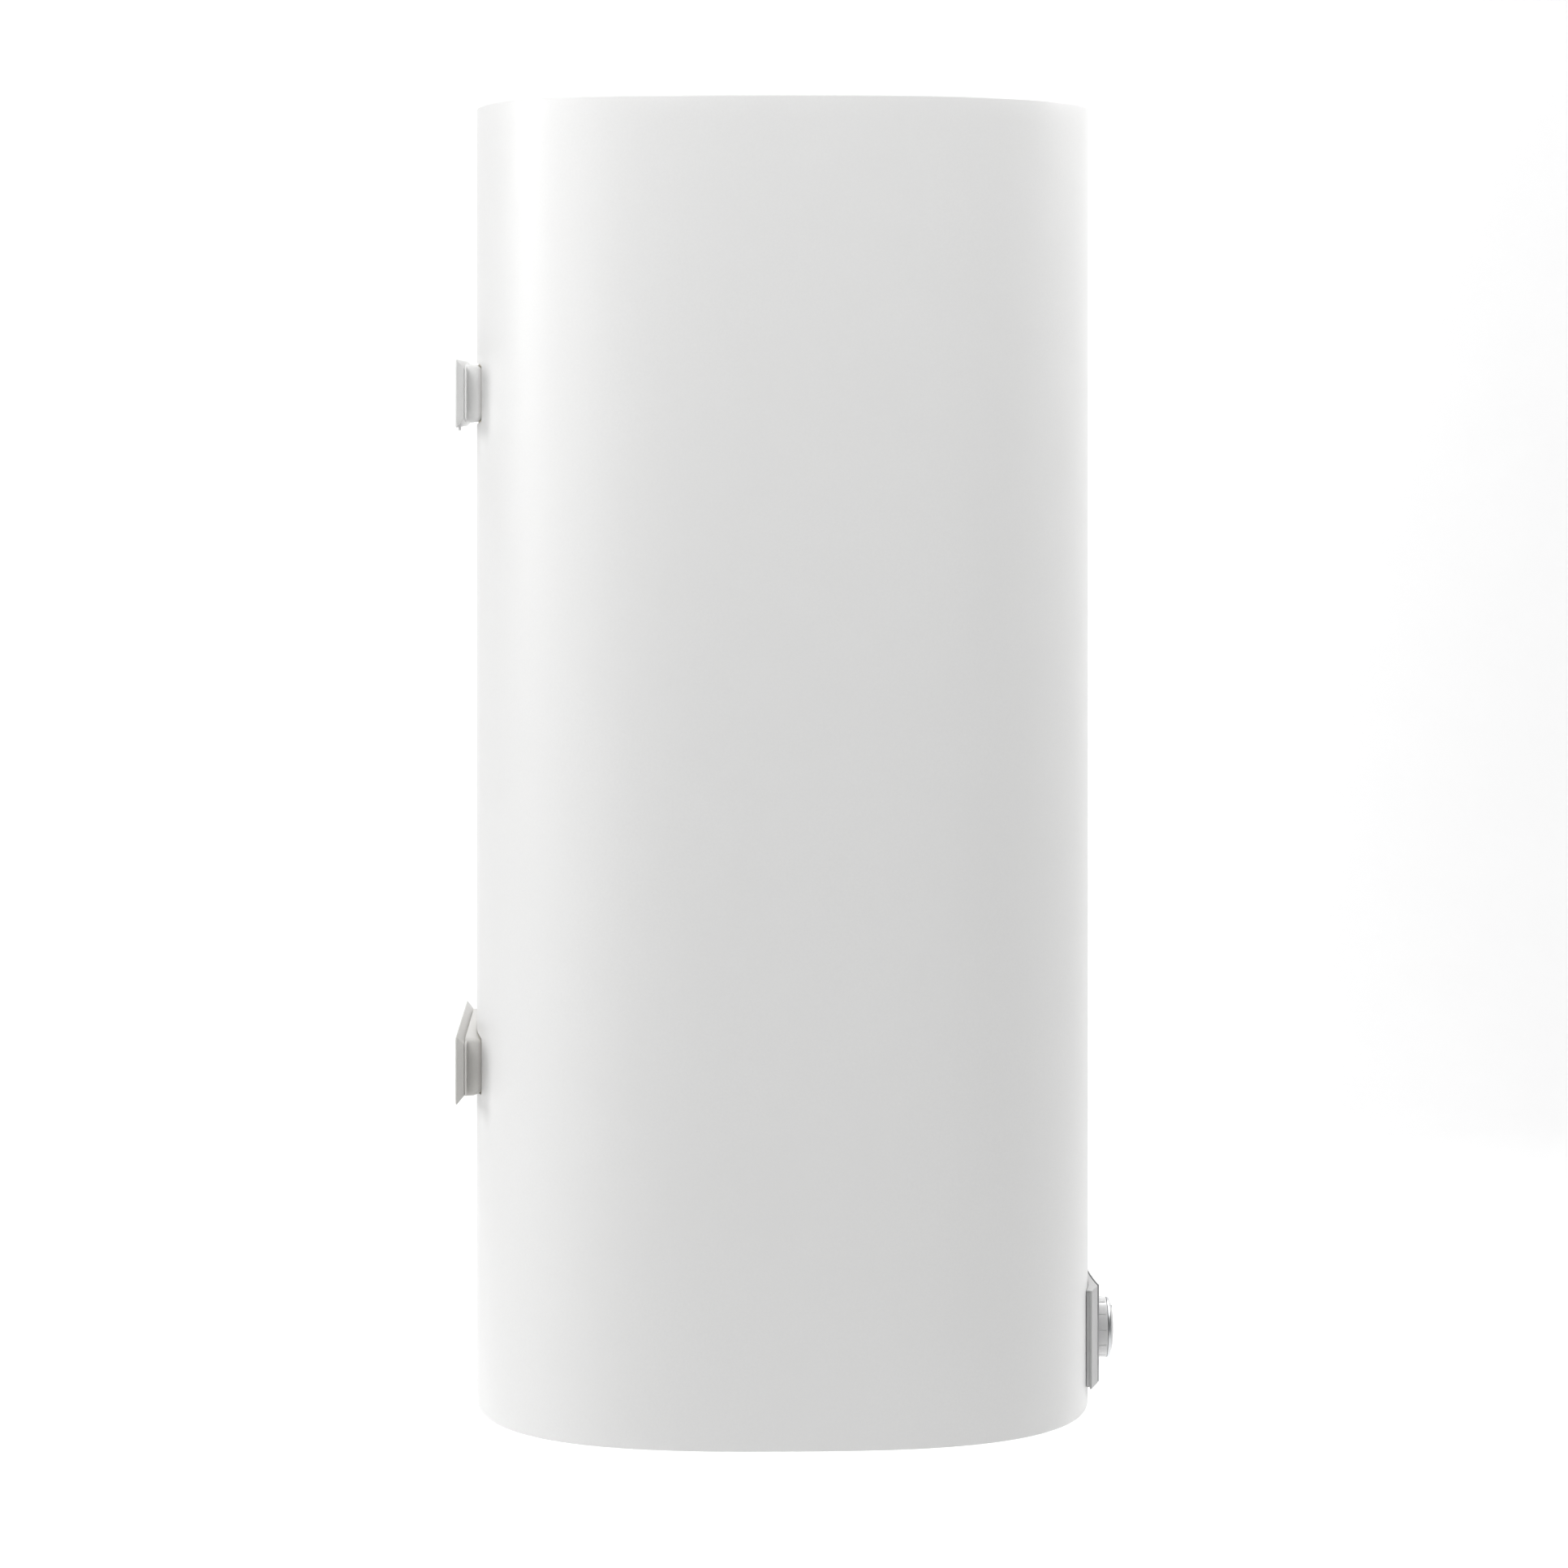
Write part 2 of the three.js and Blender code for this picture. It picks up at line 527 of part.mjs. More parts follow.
function thermostat() {
  const { width, depth, height, back, tabHeight } = THERMOSTAT;
  const faceY = back - depth;
  const boss = crossRod(5, faceY - 3, faceY + 1, 0, KNOB.height);
  const spindleBore = crossRod(3.3, faceY - 10, faceY + 12, 0, KNOB.height);
  const tabs = [-12, 12].map((x) => box(TAB.width, 8, TAB.sheet, x, back + 3, KNOB.height + tabHeight));
  return cut(join(box(width, depth, height, 0, back - depth / 2, KNOB.height), boss, ...tabs), spindleBore);
}

// A folded plate that carries the thermostat and the cut-out, and rests against the casing's front.
function thermostatPlate() {
  const faceY = THERMOSTAT.back - THERMOSTAT.depth;
  const [left, right, sheet, height, fold] = [-39, 69, 1.5, 46, 12];
  const plateY = faceY - 1.2;
  const plate = join(
    box(right - left, sheet, height, (left + right) / 2, plateY, KNOB.height),
    box(sheet, fold, height, left + sheet / 2, plateY - fold / 2, KNOB.height),
    box(sheet, fold - 2.5, height, right - sheet / 2, plateY - fold / 2 + 1.25, KNOB.height),
  );
  return cut(plate, crossRod(5 + GAP, plateY - 5, plateY + 5, 0, KNOB.height));
}

function safetyCutout() {
  const { x, y, width, depth, bottom, top, tabSpread } = CUTOUT;
  const tabs = [-1, 1].map((side) => box(TAB.width, TAB.sheet, 8, x + side * tabSpread, y + 4, top + 3));
  const body = join(box(width, depth, top - bottom, x, y, (top + bottom) / 2), ...tabs);
  return cut(body, rod(3 + GAP, bottom - 5, bottom + 8, x, y));
}

function terminalBlock() {
  const { x, y, width, depth, bottom, top, pitch } = BLOCK;
  const wells = [-1, 0, 1].map((i) => rod(3, top - 6, top + 5, x + i * pitch, y, 12));
  return cut(box(width, depth, top - bottom, x, y, (bottom + top) / 2), ...wells);
}

function electrics() {
  const group = new THREE.Group();
  group.add(piece("thermostat", thermostat(), FINISHES.blackPlastic));
  group.add(piece("thermostat_plate", thermostatPlate(), FINISHES.steel));
  group.add(piece("safety_cutout", safetyCutout(), FINISHES.blackPlastic));
  group.add(piece("terminal_block", terminalBlock(), FINISHES.coverWhite));

  const { x, y, radius, bore } = GLAND;
  const gland = join(
    turned([[bore, -9], [8, -9], [10, -6], [10, 0.6], [bore, 0.6]], x, y, 16),
    tube(radius, bore, 0, 13, x, y, 16),
  );
  group.add(piece("cable_gland", gland, FINISHES.blackPlastic));
  const nut = cut(rod(12, 4.3, 8.8, x, y, 6), rod(radius + GAP, 0, 12, x, y, 16));
  group.add(piece("cable_gland_nut", nut, FINISHES.blackPlastic));
  return group;
}

// Leads and the capillary tube, each on its own way through the compartment.
function leads() {
  const group = new THREE.Group();
  const tabEnd = THERMOSTAT.back + 8.2;
  const tabZ = KNOB.height + THERMOSTAT.tabHeight;
  const wellFloor = BLOCK.top - 5.6;
  const elementFoot = FLANGE.plateBottom - 21.5;
  const cutoutTab = CUTOUT.top + 7.5;
  const firstBolt = [-FLANGE.boltCircle * Math.cos(Math.PI / 6), FLANGE.y - FLANGE.boltCircle / 2];
  const fromBlock = (i) => [
    [BLOCK.x + i * BLOCK.pitch, BLOCK.y, wellFloor],
    [BLOCK.x + i * BLOCK.pitch, BLOCK.y, BLOCK.top + 8],
  ];
  const toElement = (x) => [[x, ELEMENT.y, elementFoot - 9], [x, ELEMENT.y, elementFoot]];
  const outerTab = ELEMENT.x + ELEMENT_TAB_SPREAD;
  const innerTab = ELEMENT.x - ELEMENT_TAB_SPREAD;
  const cutoutTabs = [-1, 1].map((side) => CUTOUT.x + side * CUTOUT.tabSpread);
  const tabY = CUTOUT.y + 4;
  const routes = [
    ["live_wire", FINISHES.wireBrown, [
      ...fromBlock(-1), [-64, -166, 60], [-34, -158, 78], [12, -160, 84], [42, -178, 86],
      [cutoutTabs[0], tabY, cutoutTab + 9], [cutoutTabs[0], tabY, cutoutTab]]],
    ["link_wire", FINISHES.wireBrown, [
      [cutoutTabs[1], tabY, cutoutTab], [cutoutTabs[1], tabY, cutoutTab + 6], [56, -170, 74],
      [34, -154, 62], [14, -156, tabZ + 1], [12, tabEnd, tabZ]]],
    ["switched_wire", FINISHES.wireBrown, [
      [-12, tabEnd, tabZ], [-11, -152, tabZ - 1], [6, -112, 50], [28, -76, 38], ...toElement(outerTab)]],
    ["bridge_wire", FINISHES.wireBrown, [
      ...toElement(innerTab).reverse(), [0, ELEMENT.y, elementFoot - 16], ...toElement(-innerTab)]],
    ["neutral_wire", FINISHES.wireBlue, [
      ...fromBlock(0), [-57, -148, 36], [-46, -100, 31], [-36, -60, 32], ...toElement(-outerTab)]],
    ["earth_wire", FINISHES.wireGreen, [
      ...fromBlock(1), [-47, -150, 50], [-54, -110, 54], [firstBolt[0], firstBolt[1] - 6, 53],
      [...firstBolt, FLANGE.plateBottom - 6.4]]],
  ];
  for (const [name, colour, route] of routes) group.add(piece(name, wire(route, 1.5, 18, 6), colour));

  const capillary = wire(
    [[0, THERMOSTAT.back + GAP, 36], [0, -160, 34], [3, -130, 36], [2, -95, 40], [0, POCKET.y, 50],
     [0, POCKET.y, 74]], 1.1, 16, 6);
  const bulb = rod(3.2, 71, 190, POCKET.x, POCKET.y, 12);
  group.add(piece("thermostat_bulb", join(capillary, bulb), FINISHES.copper));
  return group;
}

// ---- control panel ----
const LAMP = { x: 40, radius: 3 };

// Distances in front of the tank's axis, at a distance x from the panel's middle.
function panelFront(x) {
  const { halfWidth, cornerHalf, sideProud } = PANEL;
  const { corner, middle } = PANEL_FACE;
  const along = Math.abs(x);
  if (along <= cornerHalf) return HALF_DEPTH + middle + (corner - middle) * (along / cornerHalf) ** 2;
  const end = frontReach(halfWidth) + sideProud;
  const share = (along - cornerHalf) / (halfWidth - cornerHalf);
  return HALF_DEPTH + corner + (end - HALF_DEPTH - corner) * share;
}

const panelBack = (x) => Math.min(frontReach(x) + PANEL.foot, panelFront(x) - PANEL_FACE.skin);

// An upright plate that lies between two such curves.
function curvedPlate(halfWidth, inner, outer, bottom, top) {
  const steps = 16;
  const places = Array.from({ length: steps + 1 }, (_, i) => halfWidth * ((2 * i) / steps - 1));
  const innerSide = places.map((x) => [x, -inner(x)]);
  const outerSide = places.map((x) => [x, -outer(x)]).reverse();
  return prism([...innerSide, ...outerSide], bottom, top);
}

function panel() {
  const { halfWidth, cornerHalf, bottom, height } = PANEL;
  const top = bottom + height;
  const shaftHole = crossRod(7, -HALF_DEPTH - 30, -HALF_DEPTH + 10, 0, KNOB.height, 24);
  const lampHole = crossRod(LAMP.radius + GAP, -HALF_DEPTH - 30, -HALF_DEPTH - 1, LAMP.x, KNOB.height);
  const group = new THREE.Group();

  const footBack = (x) => frontReach(x) + GAP;
  const footFront = (x) => panelBack(x) - GAP;
  const hoodSheet = 1.5;
  const foot = curvedPlate(halfWidth - 2, footBack, footFront, bottom + 1, top - hoodSheet - GAP);
  group.add(piece("panel_foot", cut(foot, shaftHole), FINISHES.panelDark));

  const hood = curvedPlate(halfWidth, footBack, panelFront, top - hoodSheet, top);
  const housing = join(curvedPlate(halfWidth, panelBack, panelFront, bottom, top), hood);
  group.add(piece("panel_housing", cut(housing, shaftHole, lampHole), FINISHES.panelGrey));

  const fasciaFront = (x) => panelFront(x) + GAP + PANEL_FACE.fascia;
  const fascia = curvedPlate(cornerHalf - 1, (x) => panelFront(x) + GAP, fasciaFront, bottom + 1, top + 0.6);
  group.add(piece("panel_fascia", cut(fascia, shaftHole, lampHole), FINISHES.panelGrey));

  const lensBack = -panelBack(LAMP.x) - GAP;
  const lensFront = -fasciaFront(LAMP.x) - 0.6;
  const lens = join(
    crossRod(LAMP.radius, lensFront, lensBack, LAMP.x, KNOB.height),
    crossRod(LAMP.radius - 1, lensFront - 0.4, lensFront + 0.2, LAMP.x, KNOB.height),
  );
  group.add(piece("pilot_lamp_lens", lens, FINISHES.lens));
  return group;
}

// ---- the knob and its spindle, turned about the local Z axis, which points out of the front ----
const CAP_RADIUS = KNOB.radius - 4;
const capDome = [
  [CAP_RADIUS - GAP, KNOB.rim + 2.8], [13.5, KNOB.rim + 4.2], [7, KNOB.crown - 0.3], [0, KNOB.crown],
];

function knobGrip() {
  const { radius, start, rim, grooves, sides } = KNOB;
  const inner = radius - 2.5;
  const skirtOutline = [
    [0, rim - 2], [inner, rim - 2], [inner, start], [radius, start], [radius, rim], [0, rim],
  ];
  const skirt = turned(skirtOutline, 0, 0, sides);
  const hub = tube(5.8, 3 + GAP, start, rim - 1, 0, 0, 16);
  const cutters = Array.from({ length: grooves }, (_, i) => {
    const angle = (2 * Math.PI * (i - 0.125)) / grooves;
    const reach = radius + 0.35;
    return rod(0.9, start - 1, rim - 1.4, reach * Math.cos(angle), reach * Math.sin(angle), 6);
  });
  return cut(join(skirt, hub), ...cutters);
}

function knob() {
  const { radius, rim, sides } = KNOB;
  const group = new THREE.Group();
  group.position.set(0, -HALF_DEPTH, KNOB.height);
  group.rotation.x = Math.PI / 2;
  group.add(piece("knob_grip", knobGrip(), FINISHES.coverWhite));

  const foot = rim + GAP;
  const ring = [
    [CAP_RADIUS, foot], [radius - 0.2, foot], [radius - 0.5, rim + 1.4],
    [radius - 1.8, rim + 2.6], [CAP_RADIUS, rim + 2.6],
  ];
  group.add(piece("knob_ring", turned(ring, 0, 0, sides), FINISHES.chrome));

  const dome = turned([[0, foot], [CAP_RADIUS - GAP, foot], ...capDome], 0, 0, sides);
  const [markWidth, markLength, markMiddle] = [1.6, 7, radius - 9.5];
  const slot = box(markWidth + 2 * GAP, markLength + 2 * GAP, 3, 0, markMiddle, rim + 4);
  group.add(piece("knob_cap", cut(dome, slot), FINISHES.coverWhite));
  const pointer = box(markWidth, markLength, 3, 0, markMiddle, rim + 2.8 + 1.5).intersect(dome);
  group.add(piece("knob_pointer", pointer, FINISHES.red));

  const spindleInside = THERMOSTAT.back - THERMOSTAT.depth + HALF_DEPTH - 9;
  const spindle = cut(rod(3, -spindleInside - 18, rim - 4.5), box(10, 3, 12, 0, 3.9, rim - 6));
  group.add(piece("thermostat_spindle", spindle, FINISHES.steel));
  return group;
}

function resetButton() {
  const group = new THREE.Group();
  const { x, y, bottom } = CUTOUT;
  const outline = [
    [0, bottom - 4.2], [2.2, bottom - 4], [3, bottom - 3.2], [3, bottom + 4.5], [0, bottom + 4.5],
  ];
  group.add(piece("reset_button", turned(outline, x, y, 16), FINISHES.red));
  return group;
}

// ---- the heater, from the body's local frame to the wall ----
const body = new THREE.Group();
body.position.set(0, -WALL_Y, -UPPER_BRACKET_Z);
body.add(
  shells(), brackets(), tank(), waterPipes(), serviceFlange(), electrics(), leads(),
  panel(), knob(), resetButton(),
);

const heater = new THREE.Group();
heater.add(body);
export default heater;
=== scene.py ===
"""Wall-hung electric water heater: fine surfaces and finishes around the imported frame, in metres.

The wall is the plane y = 0, the heater's front faces -y, and +z is up.
"""
import json
import math

import bmesh
import bpy
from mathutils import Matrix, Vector


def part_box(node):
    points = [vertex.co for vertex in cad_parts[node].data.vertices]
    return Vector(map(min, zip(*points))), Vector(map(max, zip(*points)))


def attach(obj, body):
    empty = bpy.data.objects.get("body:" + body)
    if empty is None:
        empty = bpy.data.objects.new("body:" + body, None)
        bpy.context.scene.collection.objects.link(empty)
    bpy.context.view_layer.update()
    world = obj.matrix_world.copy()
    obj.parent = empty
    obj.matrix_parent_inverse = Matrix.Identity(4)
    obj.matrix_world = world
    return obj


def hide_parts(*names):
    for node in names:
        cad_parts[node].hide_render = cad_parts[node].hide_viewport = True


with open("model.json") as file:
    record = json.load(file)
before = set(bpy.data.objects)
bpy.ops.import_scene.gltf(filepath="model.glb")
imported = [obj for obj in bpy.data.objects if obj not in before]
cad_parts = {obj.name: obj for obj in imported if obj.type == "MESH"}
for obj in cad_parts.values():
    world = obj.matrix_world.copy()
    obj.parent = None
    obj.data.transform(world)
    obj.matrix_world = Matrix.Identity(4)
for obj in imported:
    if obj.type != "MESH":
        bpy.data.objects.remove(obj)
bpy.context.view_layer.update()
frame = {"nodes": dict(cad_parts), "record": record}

MM = 0.001
SQUARENESS = 2.8  # exponent of the casing's plan, a superellipse
ROUND_STEPS = 64  # segments of a small turned piece

# ---------------------------------------------------------------- places, all from the frame
CASING_LOW, CASING_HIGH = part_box("outer_casing")
HALF_WIDTH = (CASING_HIGH.x - CASING_LOW.x) / 2
HALF_DEPTH = (CASING_HIGH.y - CASING_LOW.y) / 2
AXIS_Y = (CASING_HIGH.y + CASING_LOW.y) / 2
FRONT_Y = CASING_LOW.y
BASE_Z = CASING_LOW.z
TOP_Z = CASING_HIGH.z


def node_centre(node):
    low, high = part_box(node)
    return (low + high) / 2


def node_size(node):
    low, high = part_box(node)
    return high - low


KNOB_CENTRE = node_centre("knob_grip")


# ---------------------------------------------------------------- node-based finishes
class Finish:
    """Builds one Principled material; each method adds a layer of detail to it."""

    def __init__(self, name, colour, roughness, metallic=0.0):
        self.material = bpy.data.materials.new(name)
        self.material.use_nodes = True
        self.tree = self.material.node_tree
        self.shader = self.tree.nodes["Principled BSDF"]
        self.place = self.tree.nodes.new("ShaderNodeTexCoord").outputs["Object"]
        self.colour = colour
        self.shader.inputs["Base Color"].default_value = (*colour, 1)
        self.shader.inputs["Roughness"].default_value = roughness
        self.shader.inputs["Metallic"].default_value = metallic
        self.roughness = roughness
        self.height = None

    def set(self, **sockets):
        """Sets constant sockets: Coat_Weight=0.2 sets "Coat Weight"."""
        for socket, value in sockets.items():
            self.shader.inputs[socket.replace("_", " ")].default_value = value
        return self

    def stretched(self, stretch):
        if stretch == (1, 1, 1):
            return self.place
        mapping = self.tree.nodes.new("ShaderNodeMapping")
        mapping.inputs["Scale"].default_value = stretch
        self.tree.links.new(self.place, mapping.inputs["Vector"])
        return mapping.outputs["Vector"]

    def noise(self, size, detail=2.0, roughness=0.5, stretch=(1, 1, 1)):
        """A noise whose features are about size metres across."""
        node = self.tree.nodes.new("ShaderNodeTexNoise")
        node.inputs["Scale"].default_value = 1 / size
        node.inputs["Detail"].default_value = detail
        node.inputs["Roughness"].default_value = roughness
        self.tree.links.new(self.stretched(stretch), node.inputs["Vector"])
        return node.outputs["Fac"]

    def cells(self, size):
        node = self.tree.nodes.new("ShaderNodeTexVoronoi")
        node.inputs["Scale"].default_value = 1 / size
        self.tree.links.new(self.place, node.inputs["Vector"])
        return node.outputs["Distance"]

    def remap(self, value, low, high, out_low, out_high):
        node = self.tree.nodes.new("ShaderNodeMapRange")
        sockets = ("From Min", "From Max", "To Min", "To Max")
        for socket, number in zip(sockets, (low, high, out_low, out_high)):
            node.inputs[socket].default_value = number
        self.tree.links.new(value, node.inputs["Value"])
        return node.outputs["Result"]

    def tint(self, mask, colour):
        """Mixes a second colour in where the mask is 1."""
        mix = self.tree.nodes.new("ShaderNodeMix")
        mix.data_type = "RGBA"
        base = self.shader.inputs["Base Color"]
        if base.is_linked:
            self.tree.links.new(base.links[0].from_socket, mix.inputs[6])
        else:
            mix.inputs[6].default_value = base.default_value
        mix.inputs[7].default_value = (*colour, 1)
        self.tree.links.new(mask, mix.inputs[0])
        self.tree.links.new(mix.outputs[2], base)
        return self

    def mottle(self, size, change, detail=3.0, stretch=(1, 1, 1)):
        """Varies the colour gently, darker by up to change."""
        darker = tuple(channel * (1 - change) for channel in self.colour)
        return self.tint(self.remap(self.noise(size, detail, 0.6, stretch), 0.3, 0.7, 0, 1), darker)

    def vary_roughness(self, size, change, stretch=(1, 1, 1)):
        value = self.noise(size, 3.0, 0.6, stretch)
        spread = self.remap(value, 0.3, 0.7, self.roughness - change, self.roughness + change)
        self.tree.links.new(spread, self.shader.inputs["Roughness"])
        return self

    def bump(self, value, depth, strength=1.0):
        """Adds relief: depth metres from the value's 0 to its 1."""
        node = self.tree.nodes.new("ShaderNodeBump")
        node.inputs["Distance"].default_value = depth
        node.inputs["Strength"].default_value = strength
        self.tree.links.new(value, node.inputs["Height"])
        normal = self.shader.inputs["Normal"]
        if normal.is_linked:
            self.tree.links.new(normal.links[0].from_socket, node.inputs["Normal"])
        self.tree.links.new(node.outputs["Normal"], normal)
        return self


def powder_coat(name, colour, roughness=0.42, grain=1.0):
    """Sprayed powder paint: a fine orange-peel surface with a slow drift in tone."""
    finish = Finish(name, colour, roughness)
    finish.set(Coat_Weight=0.12, Coat_Roughness=0.25, Specular_IOR_Level=0.45)
    finish.mottle(0.09, 0.012)
    finish.mottle(0.0016, 0.022 * grain, detail=1.0)
    finish.vary_roughness(0.03, 0.04)
    finish.bump(finish.noise(0.0022, 2.0), 0.00004 * grain)
    finish.bump(finish.noise(0.009, 1.0), 0.00006 * grain)
    return finish


def moulded_plastic(name, colour, roughness=0.5, spark=0.0009):
    """Spark-eroded mould texture: fine grains all over."""
    finish = Finish(name, colour, roughness)
    finish.mottle(0.02, 0.03)
    finish.vary_roughness(0.006, 0.05)
    finish.bump(finish.noise(spark, 2.0), 0.00003)
    return finish


def gloss_plastic(name, colour, roughness=0.2):
    finish = Finish(name, colour, roughness)
    finish.set(Coat_Weight=0.15, Coat_Roughness=0.15)
    finish.mottle(0.02, 0.015)
    finish.vary_roughness(0.02, 0.02)
    finish.bump(finish.noise(0.0006, 2.0), 0.000006)
    return finish


def drawn_metal(name, colour, roughness=0.32, stretch=(1, 1, 0.05), grain=0.0006):
    """Drawn or rolled metal with fine lines along one direction."""
    finish = Finish(name, colour, roughness, metallic=1.0)
    finish.mottle(0.01, 0.12, stretch=stretch)
    finish.vary_roughness(grain * 4, 0.09, stretch=stretch)
    finish.bump(finish.noise(grain, 3.0, 0.6, stretch), 0.00002)
    return finish


def zinc_plate(name):
    """Bright zinc with its faint crystal mottle."""
    finish = Finish(name, (0.55, 0.56, 0.58), 0.34, metallic=1.0)
    finish.tint(finish.remap(finish.cells(0.004), 0.0, 0.8, 0, 0.6), (0.42, 0.43, 0.46))
    finish.vary_roughness(0.004, 0.08)
    finish.bump(finish.noise(0.0007, 2.0), 0.00001)
    return finish


def satin_chrome(name):
    """Plated plastic with a soft shine."""
    finish = Finish(name, (0.62, 0.63, 0.64), 0.42, metallic=1.0)
    finish.mottle(0.01, 0.03)
    finish.vary_roughness(0.02, 0.02)
    finish.bump(finish.noise(0.004, 1.0), 0.000004)
    return finish


def rigid_foam(name):
    """Expanded polyurethane: open cells with a darker skin here and there, and painted shade darkening the
    pits of the cells.
    """
    finish = Finish(name, (0.72, 0.68, 0.58), 0.95)
    finish.tint(finish.remap(finish.noise(0.02, 4.0), 0.45, 0.7, 0, 1), (0.60, 0.55, 0.44))
    # Painted shade: the pits that the cell bump below makes are darkened, standing in for shade inside the
    # open cells.
    finish.tint(finish.remap(finish.cells(0.0018), 0.0, 0.35, 0.5, 0), (0.48, 0.43, 0.34))
    finish.bump(finish.cells(0.0018), 0.0006)
    return finish


def glass_enamel(name):
    """Fired blue-black enamel: glossy, with fine specks and slow waves."""
    finish = Finish(name, (0.03, 0.07, 0.13), 0.16)
    finish.set(Coat_Weight=0.6, Coat_Roughness=0.06)
    finish.tint(finish.remap(finish.cells(0.003), 0.0, 0.12, 0.6, 0), (0.2, 0.26, 0.32))
    finish.bump(finish.noise(0.015, 2.0), 0.0002)
    return finish


def unglazed_ceramic(name):
    finish = Finish(name, (0.76, 0.70, 0.59), 0.75)
    finish.tint(finish.remap(finish.noise(0.0012, 2.0), 0.55, 0.75, 0, 0.5), (0.55, 0.47, 0.36))
    finish.bump(finish.noise(0.001, 3.0), 0.00008)
    return finish


def cast_magnesium(name):
    finish = Finish(name, (0.48, 0.48, 0.50), 0.62, metallic=0.85)
    finish.tint(finish.remap(finish.noise(0.006, 4.0), 0.5, 0.7, 0, 0.7), (0.66, 0.66, 0.66))
    finish.bump(finish.noise(0.002, 4.0), 0.00015)
    return finish


def black_rubber(name):
    finish = Finish(name, (0.018, 0.018, 0.018), 0.72)
    finish.tint(finish.remap(finish.noise(0.008, 3.0), 0.55, 0.8, 0, 0.6), (0.06, 0.06, 0.06))
    finish.bump(finish.noise(0.0008, 2.0), 0.00004)
    return finish


def amber_glass(name):
    finish = Finish(name, (0.85, 0.38, 0.05), 0.12)
    finish.set(Transmission_Weight=0.45, IOR=1.49)
    finish.mottle(0.002, 0.15)
    finish.bump(finish.noise(0.0007, 1.0), 0.00003)
    return finish


def fascia_film(name):
    """Satin silver film with a brushed grain across it."""
    finish = Finish(name, (0.62, 0.62, 0.63), 0.33, metallic=0.55)
    finish.mottle(0.004, 0.05, stretch=(0.06, 1, 1))
    finish.vary_roughness(0.002, 0.06, stretch=(0.06, 1, 1))
    finish.bump(finish.noise(0.0007, 2.0, 0.6, (0.06, 1, 1)), 0.000012)
    return finish


def make_finishes():
    """One material for each of the record's slots."""
    return {
        "casing_white": powder_coat("casing_powder", (0.80, 0.80, 0.795)),
        "cover_white": moulded_plastic("cover_plastic", (0.78, 0.78, 0.77)),
        "bracket_white": powder_coat("bracket_white_powder", (0.78, 0.78, 0.775), 0.45),
        "bracket_grey": powder_coat("bracket_grey_powder", (0.60, 0.59, 0.57), 0.45, grain=1.6),
        "foam": rigid_foam("rigid_foam"),
        "enamel": glass_enamel("glass_enamel"),
        "zinc_pipe": drawn_metal("drawn_steel_pipe", (0.54, 0.55, 0.56)),
        "steel": zinc_plate("zinc_plate"),
        "magnesium": cast_magnesium("cast_magnesium"),
        "steatite": unglazed_ceramic("steatite"),
        "black_rubber": black_rubber("black_rubber"),
        "inner_plastic": moulded_plastic("inner_plastic", (0.74, 0.74, 0.71), 0.4),
        "copper": drawn_metal("drawn_copper", (0.72, 0.33, 0.19), 0.28),
        "brass": drawn_metal("turned_brass", (0.66, 0.48, 0.22), 0.26, stretch=(1, 1, 4)),
        "black_plastic": moulded_plastic("black_plastic", (0.03, 0.03, 0.032), 0.45),
        "wire_brown": gloss_plastic("brown_sleeve", (0.14, 0.06, 0.03), 0.35),
        "wire_blue": gloss_plastic("blue_sleeve", (0.03, 0.12, 0.42), 0.35),
        "wire_green": gloss_plastic("green_sleeve", (0.10, 0.33, 0.05), 0.35),
        "ring_blue": moulded_plastic("blue_ring_plastic", (0.02, 0.11, 0.42), 0.4),
        "ring_red": moulded_plastic("red_ring_plastic", (0.48, 0.03, 0.03), 0.4),
        # Painted light: the foot strip gets a lighter grey than the housing to make up for the shade in its
        # narrow recess.
        "panel_dark": moulded_plastic("panel_foot_plastic_painted_light", (0.80, 0.80, 0.80), 0.6),
        "panel_grey": moulded_plastic("panel_housing_plastic", (0.50, 0.50, 0.50), 0.5),
        "fascia_silver": fascia_film("fascia_film"),
        "amber_lens": amber_glass("amber_lens"),
        "knob_white": gloss_plastic("knob_plastic", (0.74, 0.74, 0.74), 0.28),
        "knob_chrome": satin_chrome("knob_chrome"),
        # The slot is red in the record, but the pointer and the reset button are shown grey.
        "pointer_red": moulded_plastic("pointer_plastic", (0.42, 0.42, 0.42), 0.4),
    }


FINISHES = make_finishes()
SLOT_OF = {part["node"]: part["material_slot"] for part in frame["record"]["subparts"]}
BODY_OF = {node: body for body, nodes in frame["record"]["behaviour"]["bodies"].items() for node in nodes}


def finish_for(node):
    return FINISHES[SLOT_OF[node]].material


# ---------------------------------------------------------------- mesh helpers
def make_piece(name, mesh, node, smooth_angle=40):
    """Puts a mesh in the scene in place of a CAD node, with that node's body, slot and finish."""
    piece = bpy.data.objects.new(name, mesh)
    bpy.context.scene.collection.objects.link(piece)
    mesh.materials.clear()
    mesh.materials.append(finish_for(node))
    mark_sharp_edges(mesh, smooth_angle)
    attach(piece, BODY_OF[node])
    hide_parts(node)
    return piece


def mark_sharp_edges(mesh, angle):
    """Smooth shading, except across edges that fold by more than the angle, in degrees."""
    limit = math.radians(angle)
    bm = bmesh.new()
    bm.from_mesh(mesh)
    for face in bm.faces:
        face.smooth = True
    for edge in bm.edges:
        edge.smooth = not (len(edge.link_faces) == 2 and edge.calc_face_angle() > limit)
    bm.to_mesh(mesh)
    bm.free()


def clean_mesh(name, bm):
    """Turns a bmesh into a mesh with merged points and outward faces."""
    bmesh.ops.remove_doubles(bm, verts=bm.verts, dist=1e-7)
    bmesh.ops.dissolve_degenerate(bm, edges=bm.edges, dist=1e-8)
    bmesh.ops.recalc_face_normals(bm, faces=bm.faces)
    mesh = bpy.data.meshes.new(name)
    bm.to_mesh(mesh)
    bm.free()
    return mesh


